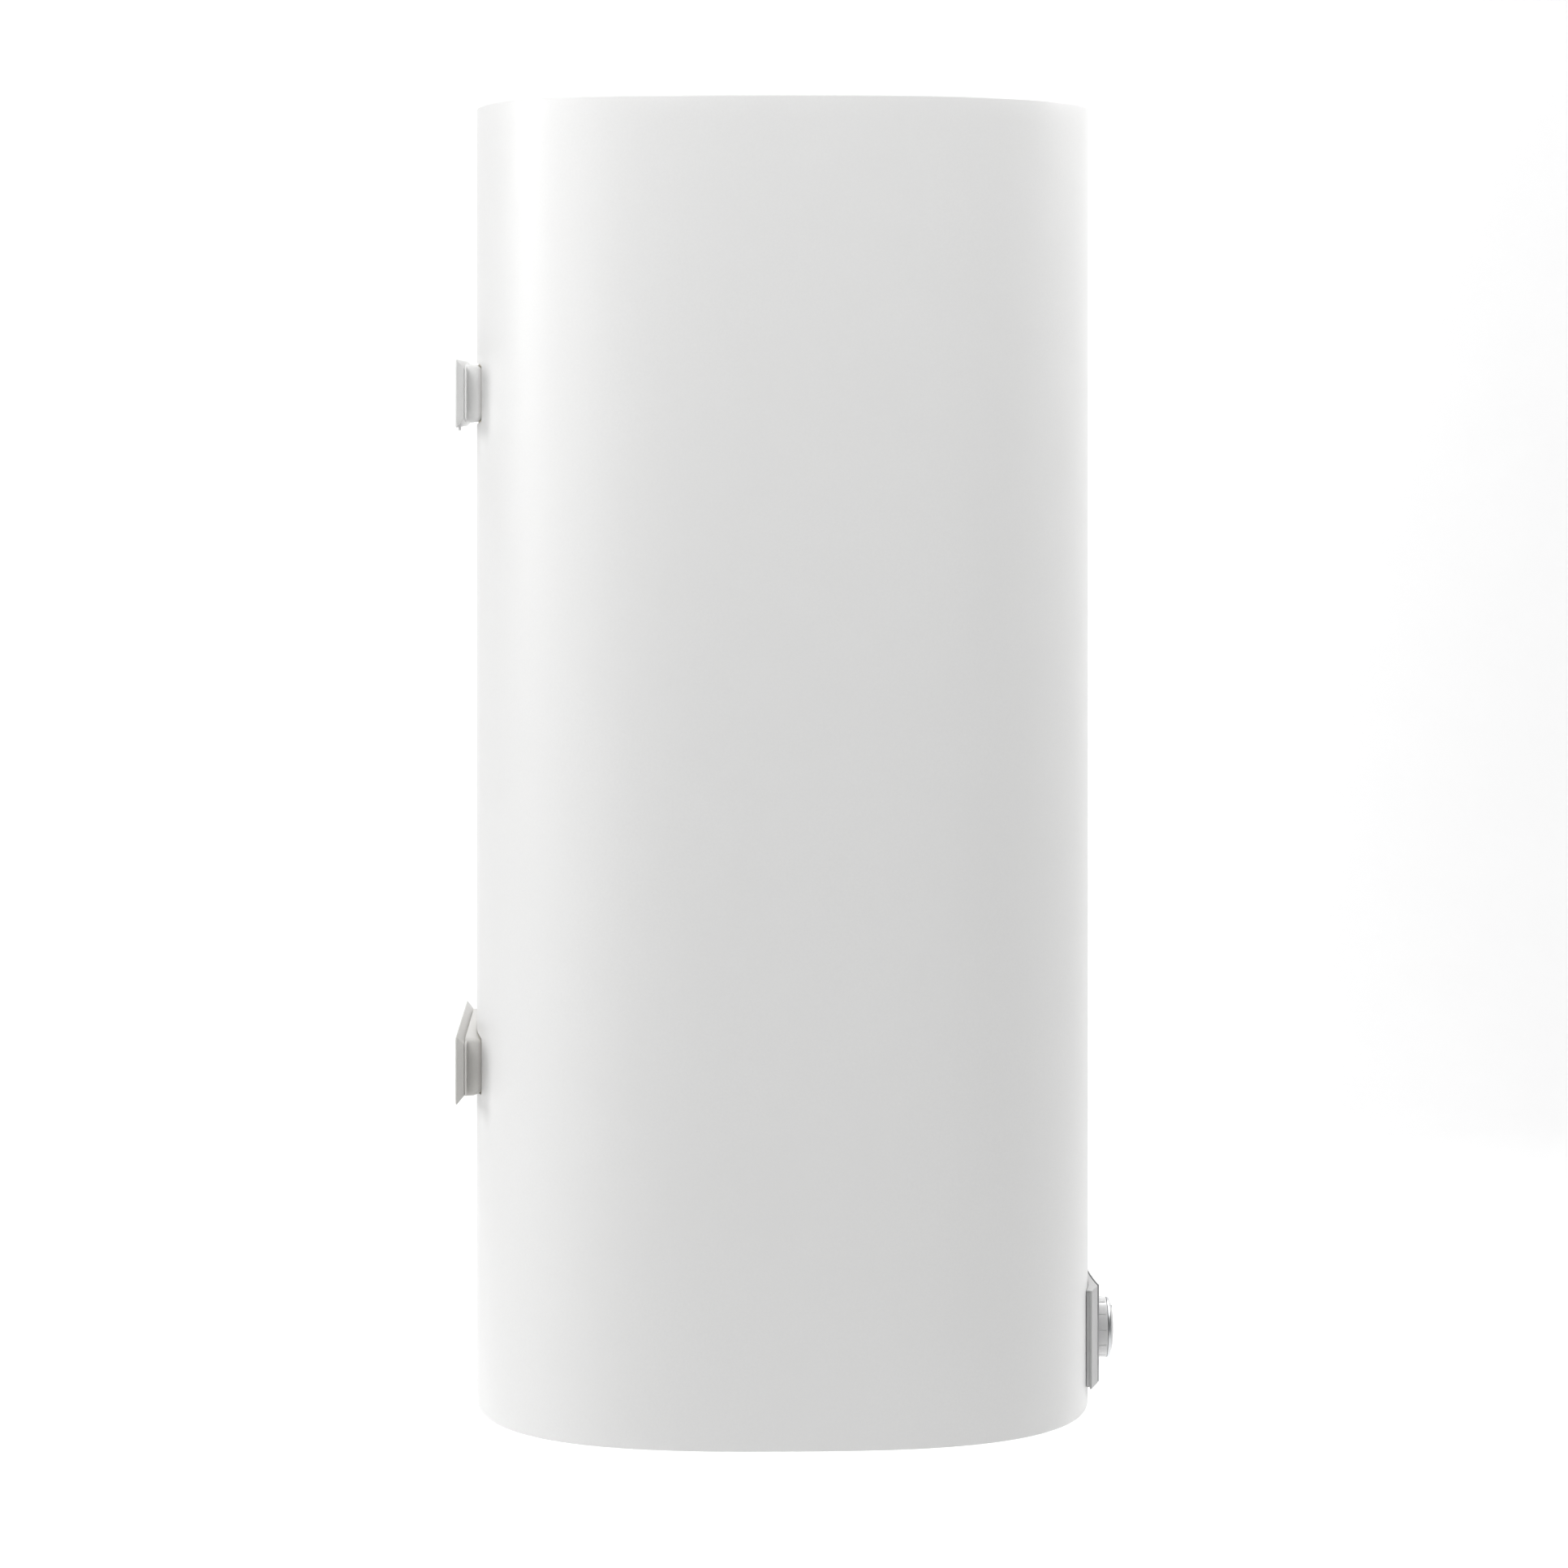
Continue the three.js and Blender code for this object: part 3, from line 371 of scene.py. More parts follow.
def loft_mesh(name, rings, closed_path=False):
    """A skin through rings of equal count; capped at both ends, or joined into a tube wall if closed."""
    bm = bmesh.new()
    levels = [[bm.verts.new(point) for point in ring] for ring in rings]
    count = len(levels[0])
    pairs = list(zip(levels, levels[1:]))
    if closed_path:
        pairs.append((levels[-1], levels[0]))
    for lower, upper in pairs:
        for i in range(count):
            j = (i + 1) % count
            bm.faces.new((lower[i], lower[j], upper[j], upper[i]))
    if not closed_path:
        bm.faces.new(list(reversed(levels[0])))
        bm.faces.new(levels[-1])
    return clean_mesh(name, bm)


def turned_mesh(name, profile, centre, along="z", steps=ROUND_STEPS, closed_path=False):
    """A turned piece from (radius, height) points; height runs up z, or out of the front along -y."""
    def point(radius, height, angle):
        across, up = radius * math.cos(angle), radius * math.sin(angle)
        if along == "z":
            return Vector((centre.x + across, centre.y + up, height))
        return Vector((centre.x + across, height, centre.z + up))

    angles = [2 * math.pi * i / steps for i in range(steps)]
    bm = bmesh.new()
    rings = []
    for radius, height in profile:
        if radius < 1e-9:
            rings.append([bm.verts.new(point(0, height, 0))])
        else:
            rings.append([bm.verts.new(point(radius, height, angle)) for angle in angles])
    pairs = list(zip(rings, rings[1:]))
    if closed_path:
        pairs.append((rings[-1], rings[0]))
    for lower, upper in pairs:
        for i in range(steps):
            j = (i + 1) % steps
            corners = [
                lower[i % len(lower)], lower[j % len(lower)],
                upper[j % len(upper)], upper[i % len(upper)],
            ]
            unique = list(dict.fromkeys(corners))
            if len(unique) > 2:
                bm.faces.new(unique)
    return clean_mesh(name, bm)


def rounded_ring(points, radius, steps=4):
    """A closed outline of 2-D points with every corner rounded."""
    out = []
    count = len(points)
    for i in range(count):
        a, c, b = (Vector(points[k % count]) for k in (i - 1, i, i + 1))
        reach = min(radius, (a - c).length * 0.45, (b - c).length * 0.45)
        start = c + (a - c).normalized() * reach
        end = c + (b - c).normalized() * reach
        for k in range(steps + 1):
            t = k / steps
            bend = start * (1 - t) ** 2 + c * (2 * t * (1 - t)) + end * t ** 2
            out.append((bend.x, bend.y))
    return out


def cut_mesh(mesh, cutters, add=()):
    """Joins closed meshes to a closed mesh, then subtracts others from it."""
    holder = bpy.data.objects.new("being_cut", mesh)
    bpy.context.scene.collection.objects.link(holder)
    tools = []
    for operation, others in (("UNION", add), ("DIFFERENCE", cutters)):
        for other in others:
            tool = bpy.data.objects.new("cutter", other)
            bpy.context.scene.collection.objects.link(tool)
            modifier = holder.modifiers.new("cut", "BOOLEAN")
            modifier.operation = operation
            modifier.solver = "EXACT"
            modifier.object = tool
            tools.append(tool)
    bpy.context.view_layer.update()
    graph = bpy.context.evaluated_depsgraph_get()
    result = bpy.data.meshes.new_from_object(holder.evaluated_get(graph))
    for thing in tools + [holder]:
        bpy.data.objects.remove(thing)
    return result


# ---------------------------------------------------------------- casing and covers
def plan_point(angle, inset):
    """A point of the casing's plan, drawn in from the outside by inset."""
    cosine, sine = math.cos(angle), math.sin(angle)
    reach = (
        abs(cosine / (HALF_WIDTH - inset)) ** SQUARENESS + abs(sine / (HALF_DEPTH - inset)) ** SQUARENESS
    ) ** (-1 / SQUARENESS)
    return reach * cosine, AXIS_Y + reach * sine


def front_reach(x):
    """How far the casing's front lies in front of the tank's axis, at a distance x from the middle."""
    return HALF_DEPTH * (1 - abs(x / HALF_WIDTH) ** SQUARENESS) ** (1 / SQUARENESS)


SHEET = 0.8 * MM
LEG_CLEARANCE = 1.2 * MM
LEG_DEPTH = 16.7 * MM  # from the leg's flange to its face on the tank's side
LEG_CORNER = 13.5 * MM
LEG_HALF_WIDTH = 88 * MM
LEG_HALF_HEIGHT = 21.25 * MM
LEG_SHEET = 2.5 * MM


def rounded_rectangle(half_x, half_z, radius, steps=5):
    corners = [(-half_x, -half_z), (half_x, -half_z), (half_x, half_z), (-half_x, half_z)]
    return rounded_ring(corners, radius, steps)


def leg_middle(level):
    low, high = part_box(f"{level}_bracket_leg")
    return (low.z + high.z) / 2


def leg_face_rings(level, grow=0.0):
    """The drawn box of a leg from its flange to its rounded face, made larger all round by grow."""
    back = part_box(f"{level}_bracket_leg")[1].y
    front = back - LEG_DEPTH - grow
    middle = leg_middle(level)

    def ring(inset, y):
        outline = rounded_rectangle(LEG_HALF_WIDTH + grow - inset, LEG_HALF_HEIGHT + grow - inset, 4 * MM)
        return [Vector((x, y, middle + z)) for x, z in outline]

    rings = [ring(0, back + grow)]
    for i in range(9):
        angle = math.pi / 2 * i / 8
        inset = LEG_CORNER * (1 - math.cos(angle))
        rings.append(ring(inset, front + LEG_CORNER * (1 - math.sin(angle))))
    return rings


def casing_levels():
    """(inset, height) up the outside, over the top lip, and down the inside."""
    roll = 1.6 * MM
    quarter = [math.pi / 2 * i / 6 for i in range(7)]
    wall = [(0.0, BASE_Z + (TOP_Z - BASE_Z) * i / 60) for i in range(1, 60)]
    hem = [(roll * (1 - math.sin(a)), BASE_Z + roll * (1 - math.cos(a))) for a in quarter]
    shoulder = [(roll * (1 - math.cos(a)), TOP_Z - roll * (1 - math.sin(a))) for a in quarter]
    lip = [(7 * MM, TOP_Z), (7 * MM, TOP_Z - SHEET), (roll, TOP_Z - SHEET), (SHEET, TOP_Z - SHEET - 1 * MM)]
    inside = [(SHEET, z) for _, z in reversed(wall)]
    return hem + wall + shoulder + lip + inside + [(3.4 * MM, BASE_Z + 3 * MM), (3.4 * MM, BASE_Z)]


def make_casing():
    """One seamless wrap with a rounded shoulder, a hem, and openings for the legs and the knob's spindle."""
    rings = [plan_ring(inset, z, steps=224) for inset, z in casing_levels()]
    wrap = loft_mesh("casing_wrap", rings, closed_path=True)
    cutters = [loft_mesh("cutter", leg_face_rings(level, LEG_CLEARANCE)) for level in ("upper", "lower")]
    cutters.append(shaft_cutter())
    return make_piece("casing_wrap", cut_mesh(wrap, cutters), "outer_casing", smooth_angle=35)


def plan_ring(inset, z, steps=256):
    return [Vector((*plan_point(2 * math.pi * i / steps, inset), z)) for i in range(steps)]


def make_top_cover():
    """A shallow moulded lid that sits inside the wrap's lip."""
    low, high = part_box("top_cover")
    edge = 7.5 * MM
    rings = [
        plan_ring(SHEET + 0.4 * MM, low.z),
        plan_ring(SHEET + 0.4 * MM, TOP_Z - 1.2 * MM),
        plan_ring(edge, TOP_Z - 1.2 * MM),
        plan_ring(edge, TOP_Z - 0.4 * MM),
        plan_ring(edge + 0.8 * MM, TOP_Z + 0.4 * MM),
        plan_ring(edge + 6 * MM, TOP_Z + 0.7 * MM),
        plan_ring(edge + 9 * MM, TOP_Z - 0.4 * MM),
        plan_ring(edge + 13 * MM, TOP_Z - 0.4 * MM),
        plan_ring(edge + 16 * MM, TOP_Z + 0.9 * MM),
        plan_ring(60 * MM, high.z - 0.3 * MM),
        plan_ring(140 * MM, high.z),
        plan_ring(215 * MM, high.z),
    ]
    return make_piece("top_lid", loft_mesh("top_lid", rings), "top_cover", smooth_angle=30)


def round_cutter(centre, radius, low, high, steps=48):
    return turned_mesh("cutter", [(0, low), (radius, low), (radius, high), (0, high)], centre, steps=steps)


def slot_cutter(centre, length, width, low, high):
    """A slot with round ends, along x."""
    half, radius = length / 2 - width / 2, width / 2
    ring = []
    for side, start in ((1, -math.pi / 2), (-1, math.pi / 2)):
        for i in range(9):
            angle = start + math.pi * i / 8
            x = centre.x + side * half + radius * math.cos(angle)
            ring.append((x, centre.y + radius * math.sin(angle)))
    return loft_mesh("cutter", [[Vector((x, y, z)) for x, y in ring] for z in (low, high)])


def make_bottom_cover():
    """A tray with a raised rim, vents, and holes for the pipes, the screws and the gland."""
    low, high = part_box("bottom_cover")
    outer = SHEET + 0.4 * MM
    rings = [
        plan_ring(140 * MM, low.z + 0.8 * MM),
        plan_ring(26 * MM, low.z + 0.8 * MM),
        plan_ring(22 * MM, low.z),
        plan_ring(outer + 3.4 * MM, low.z),
        plan_ring(outer + 3.0 * MM, low.z + 0.4 * MM),
        plan_ring(outer + 3.0 * MM, high.z),
        plan_ring(outer + 5.0 * MM, high.z),
        plan_ring(outer + 5.0 * MM, low.z + 3 * MM),
        plan_ring(140 * MM, low.z + 3 * MM),
    ]
    mesh = loft_mesh("bottom_tray", rings)
    below, above = low.z - 4 * MM, high.z + 4 * MM
    cutters = []
    for water in ("cold", "hot"):
        grommet = f"{water}_pipe_grommet"
        cutters.append(round_cutter(node_centre(grommet), node_size(grommet).x / 2 + 0.3 * MM, below, above))
    for i in (1, 2):
        cutters.append(round_cutter(node_centre(f"bottom_cover_screw_{i}"), 2.7 * MM, below, above))
    cutters.append(round_cutter(node_centre("cable_gland"), 8.3 * MM, below, above))
    vent_row = Vector((0, AXIS_Y - 60 * MM, 0))
    for row in range(-2, 3):
        cutters.append(slot_cutter(vent_row + Vector((0, row * 10 * MM, 0)), 46 * MM, 4 * MM, below, above))
    return make_piece("bottom_tray", cut_mesh(mesh, cutters), "bottom_cover", smooth_angle=30)


def make_cover_screw(index):
    """A pan-head screw with a cross recess."""
    node = f"bottom_cover_screw_{index}"
    centre = node_centre(node)
    low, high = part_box(node)
    head = low.z
    profile = [
        (0, head), (2.4 * MM, head + 0.1 * MM), (3.6 * MM, head + 0.5 * MM), (4.3 * MM, head + 1.1 * MM),
        (4.4 * MM, head + 1.5 * MM), (2.2 * MM, head + 1.5 * MM), (2.2 * MM, high.z - 1 * MM), (0, high.z),
    ]
    mesh = turned_mesh(node + "_fine", profile, centre, steps=40)
    arms = []
    for size in ((4.4 * MM, 0.8 * MM), (0.8 * MM, 4.4 * MM)):
        half_x, half_y = size[0] / 2, size[1] / 2
        corners = [(-half_x, -half_y), (half_x, -half_y), (half_x, half_y), (-half_x, half_y)]
        arms.append(loft_mesh("cutter", [
            [Vector((centre.x + x * shrink, centre.y + y * shrink, z)) for x, y in corners]
            for z, shrink in ((head - 1 * MM, 1.0), (head + 1.1 * MM, 0.55))
        ]))
    return make_piece(f"cover_screw_{index}", cut_mesh(mesh, arms), node, smooth_angle=35)


# ---------------------------------------------------------------- brackets
WINDOW_OFFSET = 60 * MM  # from the bracket's middle to each hook window's middle
PLATE_HALF_HEIGHT = 24.5 * MM
PLATE_SHEET = 2 * MM
TAB_HALF_WIDTH = 5 * MM
TAB_FROM_END = 12 * MM
TAB_OFF_WALL = 2.8 * MM
TAB_SHEET = 1.6 * MM
FLANGE_HALF_WIDTH = 103 * MM
FLANGE_HALF_HEIGHT = 19 * MM
FLANGE_SHEET = 1.5 * MM
LUG_HALF_WIDTH = 55 * MM
LUG_HALF_HEIGHT = 9 * MM


def bracket_windows(z_middle, y_low, y_high):
    """The two windows through which the wall hooks pass."""
    outline = rounded_rectangle(8 * MM, 10 * MM, 2.5 * MM)
    cutters = []
    for centre_x in (-WINDOW_OFFSET, WINDOW_OFFSET):
        cutters.append(loft_mesh("cutter", [
            [Vector((centre_x + x, y, z_middle + z)) for x, z in outline] for y in (y_low, y_high)
        ]))
    return cutters


def make_bracket_plate(level, has_tab):
    """A pressed dish: flat against the wall, with sloped sides that close in towards the leg."""
    node = f"{level}_bracket_plate"
    middle = leg_middle(level)
    low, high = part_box(node)
    half_x, half_z = (high.x - low.x) / 2, PLATE_HALF_HEIGHT
    wall, front = high.y, low.y
    slope_x, slope_z = 7 * MM, 5.5 * MM
    sheet = PLATE_SHEET
    bend = 1.2 * MM

    def ring(inset_x, inset_z, y, radius):
        outline = rounded_rectangle(half_x - inset_x, half_z - inset_z, radius)
        return [Vector((x, y, middle + z)) for x, z in outline]

    corner = 3 * MM
    rings = [
        ring(bend, bend, wall, corner),
        ring(0.35 * bend, 0.35 * bend, wall - 0.15 * bend, corner),
        ring(0, 0, wall - 0.7 * bend, corner),
        ring(slope_x - 0.4 * MM, slope_z - 0.4 * MM, front + 0.4 * MM, corner),
        ring(slope_x, slope_z, front, corner),
        ring(slope_x + sheet, slope_z + sheet, front, corner),
        ring(slope_x + sheet + 0.3 * MM, slope_z + sheet + 0.3 * MM, front + 0.3 * MM, corner),
        ring(sheet + 2.4 * MM, sheet + 1.9 * MM, wall - sheet, corner),
    ]
    windows = bracket_windows(middle, wall - 4 * MM, wall + 2 * MM)
    mesh = cut_mesh(loft_mesh(node + "_fine", rings), windows)
    plate = make_piece(f"{level}_wall_plate", mesh, node, smooth_angle=32)
    if has_tab:
        place = Vector((TAB_FROM_END - half_x, wall - TAB_OFF_WALL, middle - half_z))
        add_hook_tab(plate, place)
    return plate


def add_hook_tab(plate, place):
    """One short tongue that hangs below the plate near its left end and catches a hook."""
    bm = bmesh.new()
    bm.from_mesh(plate.data)
    top, bottom = 6 * MM, -2.2 * MM
    left, right = -TAB_HALF_WIDTH, TAB_HALF_WIDTH
    outline = rounded_ring([(left, top), (left, bottom), (right, bottom), (right, top)], 1.6 * MM)
    layers = []
    for y in (-TAB_SHEET / 2, TAB_SHEET / 2):
        layers.append([bm.verts.new(place + Vector((x, y, z))) for x, z in outline])
    count = len(outline)
    for i in range(count):
        j = (i + 1) % count
        bm.faces.new((layers[0][i], layers[0][j], layers[1][j], layers[1][i]))
    bm.faces.new(layers[0])
    bm.faces.new(list(reversed(layers[1])))
    bmesh.ops.recalc_face_normals(bm, faces=bm.faces)
    bm.to_mesh(plate.data)
    bm.free()
    mark_sharp_edges(plate.data, 32)


def block(low, high):
    """The two end outlines of a straight-sided block between two corners."""
    corners = [(low.x, low.z), (high.x, low.z), (high.x, high.z), (low.x, high.z)]
    return [[Vector((x, y, z)) for x, z in corners] for y in (high.y, low.y)]


def make_bracket_leg(level):
    """A drawn box with a flange at the wall, a rounded face, and the lug that is welded to the tank."""
    node = f"{level}_bracket_leg"
    low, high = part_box(node)
    middle = leg_middle(level)
    flange = rounded_rectangle(FLANGE_HALF_WIDTH, FLANGE_HALF_HEIGHT, 3 * MM)

    def flange_ring(inset, depth):
        return [Vector((x * (1 - inset), high.y - depth, middle + z * (1 - inset))) for x, z in flange]

    flange_rings = [
        flange_ring(0.004, 0), flange_ring(0, 0.3 * MM), flange_ring(0, FLANGE_SHEET - 0.3 * MM),
        flange_ring(0.004, FLANGE_SHEET),
    ]
    shell = loft_mesh(node + "_fine", leg_face_rings(level))
    face = high.y - LEG_DEPTH
    lug_low = Vector((-LUG_HALF_WIDTH, low.y, middle - LUG_HALF_HEIGHT))
    lug_high = Vector((LUG_HALF_WIDTH, face + 1 * MM, middle + LUG_HALF_HEIGHT))
    parts = [loft_mesh("flange", flange_rings), loft_mesh("lug", block(lug_low, lug_high))]

    def hollow_ring(inset, y):
        half_x, half_z = LEG_HALF_WIDTH - LEG_SHEET - inset, LEG_HALF_HEIGHT - LEG_SHEET - inset
        return [Vector((x, y, middle + z)) for x, z in rounded_rectangle(half_x, half_z, 2 * MM)]

    hollow = loft_mesh("cutter", [
        hollow_ring(0, high.y - LEG_SHEET), hollow_ring(0, face + LEG_CORNER),
        hollow_ring(5 * MM, face + LEG_SHEET),
    ])
    tank_axis = Vector((0, AXIS_Y, 0))
    tank_radius = node_size("tank_shell").x / 2 + 0.3 * MM
    tank_bore = round_cutter(tank_axis, tank_radius, middle - 40 * MM, middle + 40 * MM, steps=128)
    cutters = [hollow, tank_bore] + bracket_windows(middle, high.y - 8 * MM, high.y + 3 * MM)
    return make_piece(f"{level}_box_leg", cut_mesh(shell, cutters, add=parts), node, smooth_angle=32)


# ---------------------------------------------------------------- pipes, rings and gland
def make_pipe(node, name):
    """A stub with a chamfered end and a rolled male thread."""
    low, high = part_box(node)
    centre = node_centre(node)
    radius = (high.x - low.x) / 2
    bore = 7.5 * MM
    pitch, depth = 1.8 * MM, 0.8 * MM
    thread_top = low.z + 19 * MM
    profile = [(bore, low.z), (radius - 1.4 * MM, low.z), (radius - depth, low.z + 0.8 * MM)]
    z = low.z + 1.2 * MM
    while z < thread_top:
        crest = radius - 0.1 * MM
        profile += [(radius - depth, z), (crest, z + 0.4 * pitch), (crest, z + 0.55 * pitch)]
        z += pitch
    profile += [(radius - depth, thread_top + 0.6 * MM), (radius, thread_top + 1.6 * MM)]
    profile += [(radius, high.z), (bore, high.z)]
    mesh = turned_mesh(name, profile, centre, steps=56, closed_path=True)
    return make_piece(name, mesh, node, smooth_angle=28)


def ring_profile(inner, outer, low, high, edge):
    return [
        (inner, low + edge * 0.5), (inner + edge * 0.5, low), (outer - edge, low),
        (outer - 0.3 * edge, low + 0.3 * edge), (outer, low + edge), (outer, high - edge * 0.3),
        (outer - edge * 0.3, high), (inner, high),
    ]


def make_ring(node, name, edge):
    low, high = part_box(node)
    inner = node_size("cold_inlet_pipe").x / 2 + 0.3 * MM
    profile = ring_profile(inner, (high.x - low.x) / 2, low.z, high.z, edge)
    mesh = turned_mesh(name, profile, node_centre(node), closed_path=True)
    return make_piece(name, mesh, node, smooth_angle=40)


def make_gland():
    """The gland's outer collar, with grip flats, and its threaded neck."""
    node = "cable_gland"
    low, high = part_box(node)
    centre = node_centre(node)
    bore = 4.5 * MM
    lip = low.z
    profile = [
        (bore, lip + 0.8 * MM), (bore + 0.8 * MM, lip), (6.6 * MM, lip), (7.8 * MM, lip + 0.7 * MM),
        (8.2 * MM, lip + 2.4 * MM), (9.9 * MM, lip + 3.2 * MM), (10 * MM, lip + 3.8 * MM),
        (10 * MM, lip + 9.2 * MM), (9.6 * MM, lip + 9.6 * MM), (8 * MM, lip + 9.6 * MM),
    ]
    z = lip + 10 * MM
    while z < high.z - 1.5 * MM:
        profile += [(7.3 * MM, z), (7.9 * MM, z + 0.5 * MM)]
        z += 1.25 * MM
    profile += [(7.3 * MM, high.z), (bore, high.z)]
    mesh = turned_mesh("cable_gland_fine", profile, centre, closed_path=True)
    flats = []
    for i in range(12):
        angle = 2 * math.pi * i / 12
        notch = Vector((centre.x + 10.5 * MM * math.cos(angle), centre.y + 10.5 * MM * math.sin(angle), 0))
        flats.append(turned_mesh("cutter", [
            (0, lip + 2 * MM), (1.1 * MM, lip + 2 * MM), (1.1 * MM, lip + 8.6 * MM), (0, lip + 8.6 * MM),
        ], notch, steps=16))
    return make_piece("cable_gland_fine", cut_mesh(mesh, flats), node, smooth_angle=30)


# ---------------------------------------------------------------- control panel
HOUSING_LOW, HOUSING_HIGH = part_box("panel_housing")
FASCIA_LOW, FASCIA_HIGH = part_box("panel_fascia")
PANEL_HALF = (HOUSING_HIGH.x - HOUSING_LOW.x) / 2
CORNER_HALF = (FASCIA_HIGH.x - FASCIA_LOW.x) / 2 + 1 * MM
FACE_CORNER = AXIS_Y - HALF_DEPTH - HOUSING_LOW.y  # how far the face's corners stand in front of the casing
FACE_MIDDLE = 2.4 * MM
SIDE_PROUD = 4.4 * MM
FOOT = 2.8 * MM
HOOD = 1.5 * MM  # thickness of the housing's top, which reaches the casing


def panel_front(x):
    """How far the housing's face is from the tank's axis: hollow between its corners, then sloping back."""
    along = abs(x)
    if along <= CORNER_HALF:
        return HALF_DEPTH + FACE_MIDDLE + (FACE_CORNER - FACE_MIDDLE) * (along / CORNER_HALF) ** 2
    share = (along - CORNER_HALF) / (PANEL_HALF - CORNER_HALF)
    corner = HALF_DEPTH + FACE_CORNER
    return corner + (front_reach(PANEL_HALF) + SIDE_PROUD - corner) * share


def panel_back(x):
    return min(front_reach(x) + FOOT, panel_front(x) - 1.2 * MM)


def curved_plate(name, half, inner, outer, low, high, edge, steps=56):
    """A plate between two curves, with its front edges rounded at the top and bottom."""
    xs = [half * (2 * i / steps - 1) for i in range(steps + 1)]

    def section(inset_z, setback):
        inner_side = [(x, -inner(x)) for x in xs]
        outer_side = [
            (x * (1 - setback / half), -max(outer(x) - setback, inner(x) + 0.2 * MM)) for x in reversed(xs)
        ]
        return inner_side + outer_side, inset_z

    layers = []
    for t in (0, 0.3, 1):
        setback = edge * (1 - math.sin(math.pi / 2 * t))
        layers.append(section(edge * (1 - math.cos(math.pi / 2 * t)), setback))
    rings = []
    for outline, inset in layers:
        rings.append([Vector((x, AXIS_Y + y, low + inset)) for x, y in outline])
    for outline, inset in reversed(layers):
        rings.append([Vector((x, AXIS_Y + y, high - inset)) for x, y in outline])
    return loft_mesh(name, rings)


def front_cutter(centre, radius, near, far, steps=48):
    """A round cutter along y between two depths."""
    profile = [(0, near), (radius, near), (radius, far), (0, far)]
    return turned_mesh("cutter", profile, centre, along="y", steps=steps)


def shaft_cutter():
    return front_cutter(KNOB_CENTRE, 7 * MM, FRONT_Y - 30 * MM, FRONT_Y + 10 * MM)


def lamp_cutter():
    return front_cutter(node_centre("pilot_lamp_lens"), 3.3 * MM, FRONT_Y - 30 * MM, FRONT_Y - 1 * MM)


def make_panel_foot():
    low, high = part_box("panel_foot")
    half = (high.x - low.x) / 2
    mesh = curved_plate(
        "panel_foot_strip", half, lambda x: front_reach(x) + 0.3 * MM, lambda x: panel_back(x) - 0.3 * MM,
        low.z, high.z, 0.3 * MM)
    return make_piece("panel_foot_strip", cut_mesh(mesh, [shaft_cutter()]), "panel_foot", smooth_angle=30)


def make_panel_housing():
    mesh = curved_plate(
        "panel_shell", PANEL_HALF, panel_back, panel_front, HOUSING_LOW.z, HOUSING_HIGH.z, 0.5 * MM)
    hood = curved_plate(
        "hood", PANEL_HALF - 0.5 * MM, lambda x: front_reach(x) + 0.3 * MM,
        lambda x: panel_front(x) - 0.6 * MM, HOUSING_HIGH.z - HOOD, HOUSING_HIGH.z, 0.1 * MM)
    cutters = [shaft_cutter(), lamp_cutter()]
    return make_piece("panel_shell", cut_mesh(mesh, cutters, add=[hood]), "panel_housing", smooth_angle=30)


def make_panel_fascia():
    """A thin film-faced plate in front of the housing, with holes for the shaft and the lamp."""
    mesh = curved_plate(
        "panel_face_plate", CORNER_HALF - 1 * MM, lambda x: panel_front(x) + 0.3 * MM,
        lambda x: panel_front(x) + 1.1 * MM, FASCIA_LOW.z, FASCIA_HIGH.z, 0.25 * MM)
    cutters = [shaft_cutter(), lamp_cutter()]
    return make_piece("panel_face_plate", cut_mesh(mesh, cutters), "panel_fascia", smooth_angle=30)


def make_lamp_lens():
    low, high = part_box("pilot_lamp_lens")
    radius = (high.x - low.x) / 2
    profile = [
        (0, low.y), (0.9 * MM, low.y + 0.04 * MM), (1.8 * MM, low.y + 0.22 * MM),
        (2.5 * MM, low.y + 0.55 * MM), (radius, low.y + 1.0 * MM), (radius, high.y), (0, high.y),
    ]
    mesh = turned_mesh("lamp_lens", profile, node_centre("pilot_lamp_lens"), along="y", steps=40)
    return make_piece("lamp_lens", mesh, "pilot_lamp_lens", smooth_angle=50)


# ---------------------------------------------------------------- knob
GRIP_LOW, GRIP_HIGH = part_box("knob_grip")
KNOB_RADIUS = (GRIP_HIGH.x - GRIP_LOW.x) / 2
KNOB_START = GRIP_HIGH.y  # nearest the panel
KNOB_RIM = GRIP_LOW.y  # where the bright ring sits
GROOVES = 12
GROOVE_PHASE = -0.125  # in groove pitches, from the x axis to the first groove


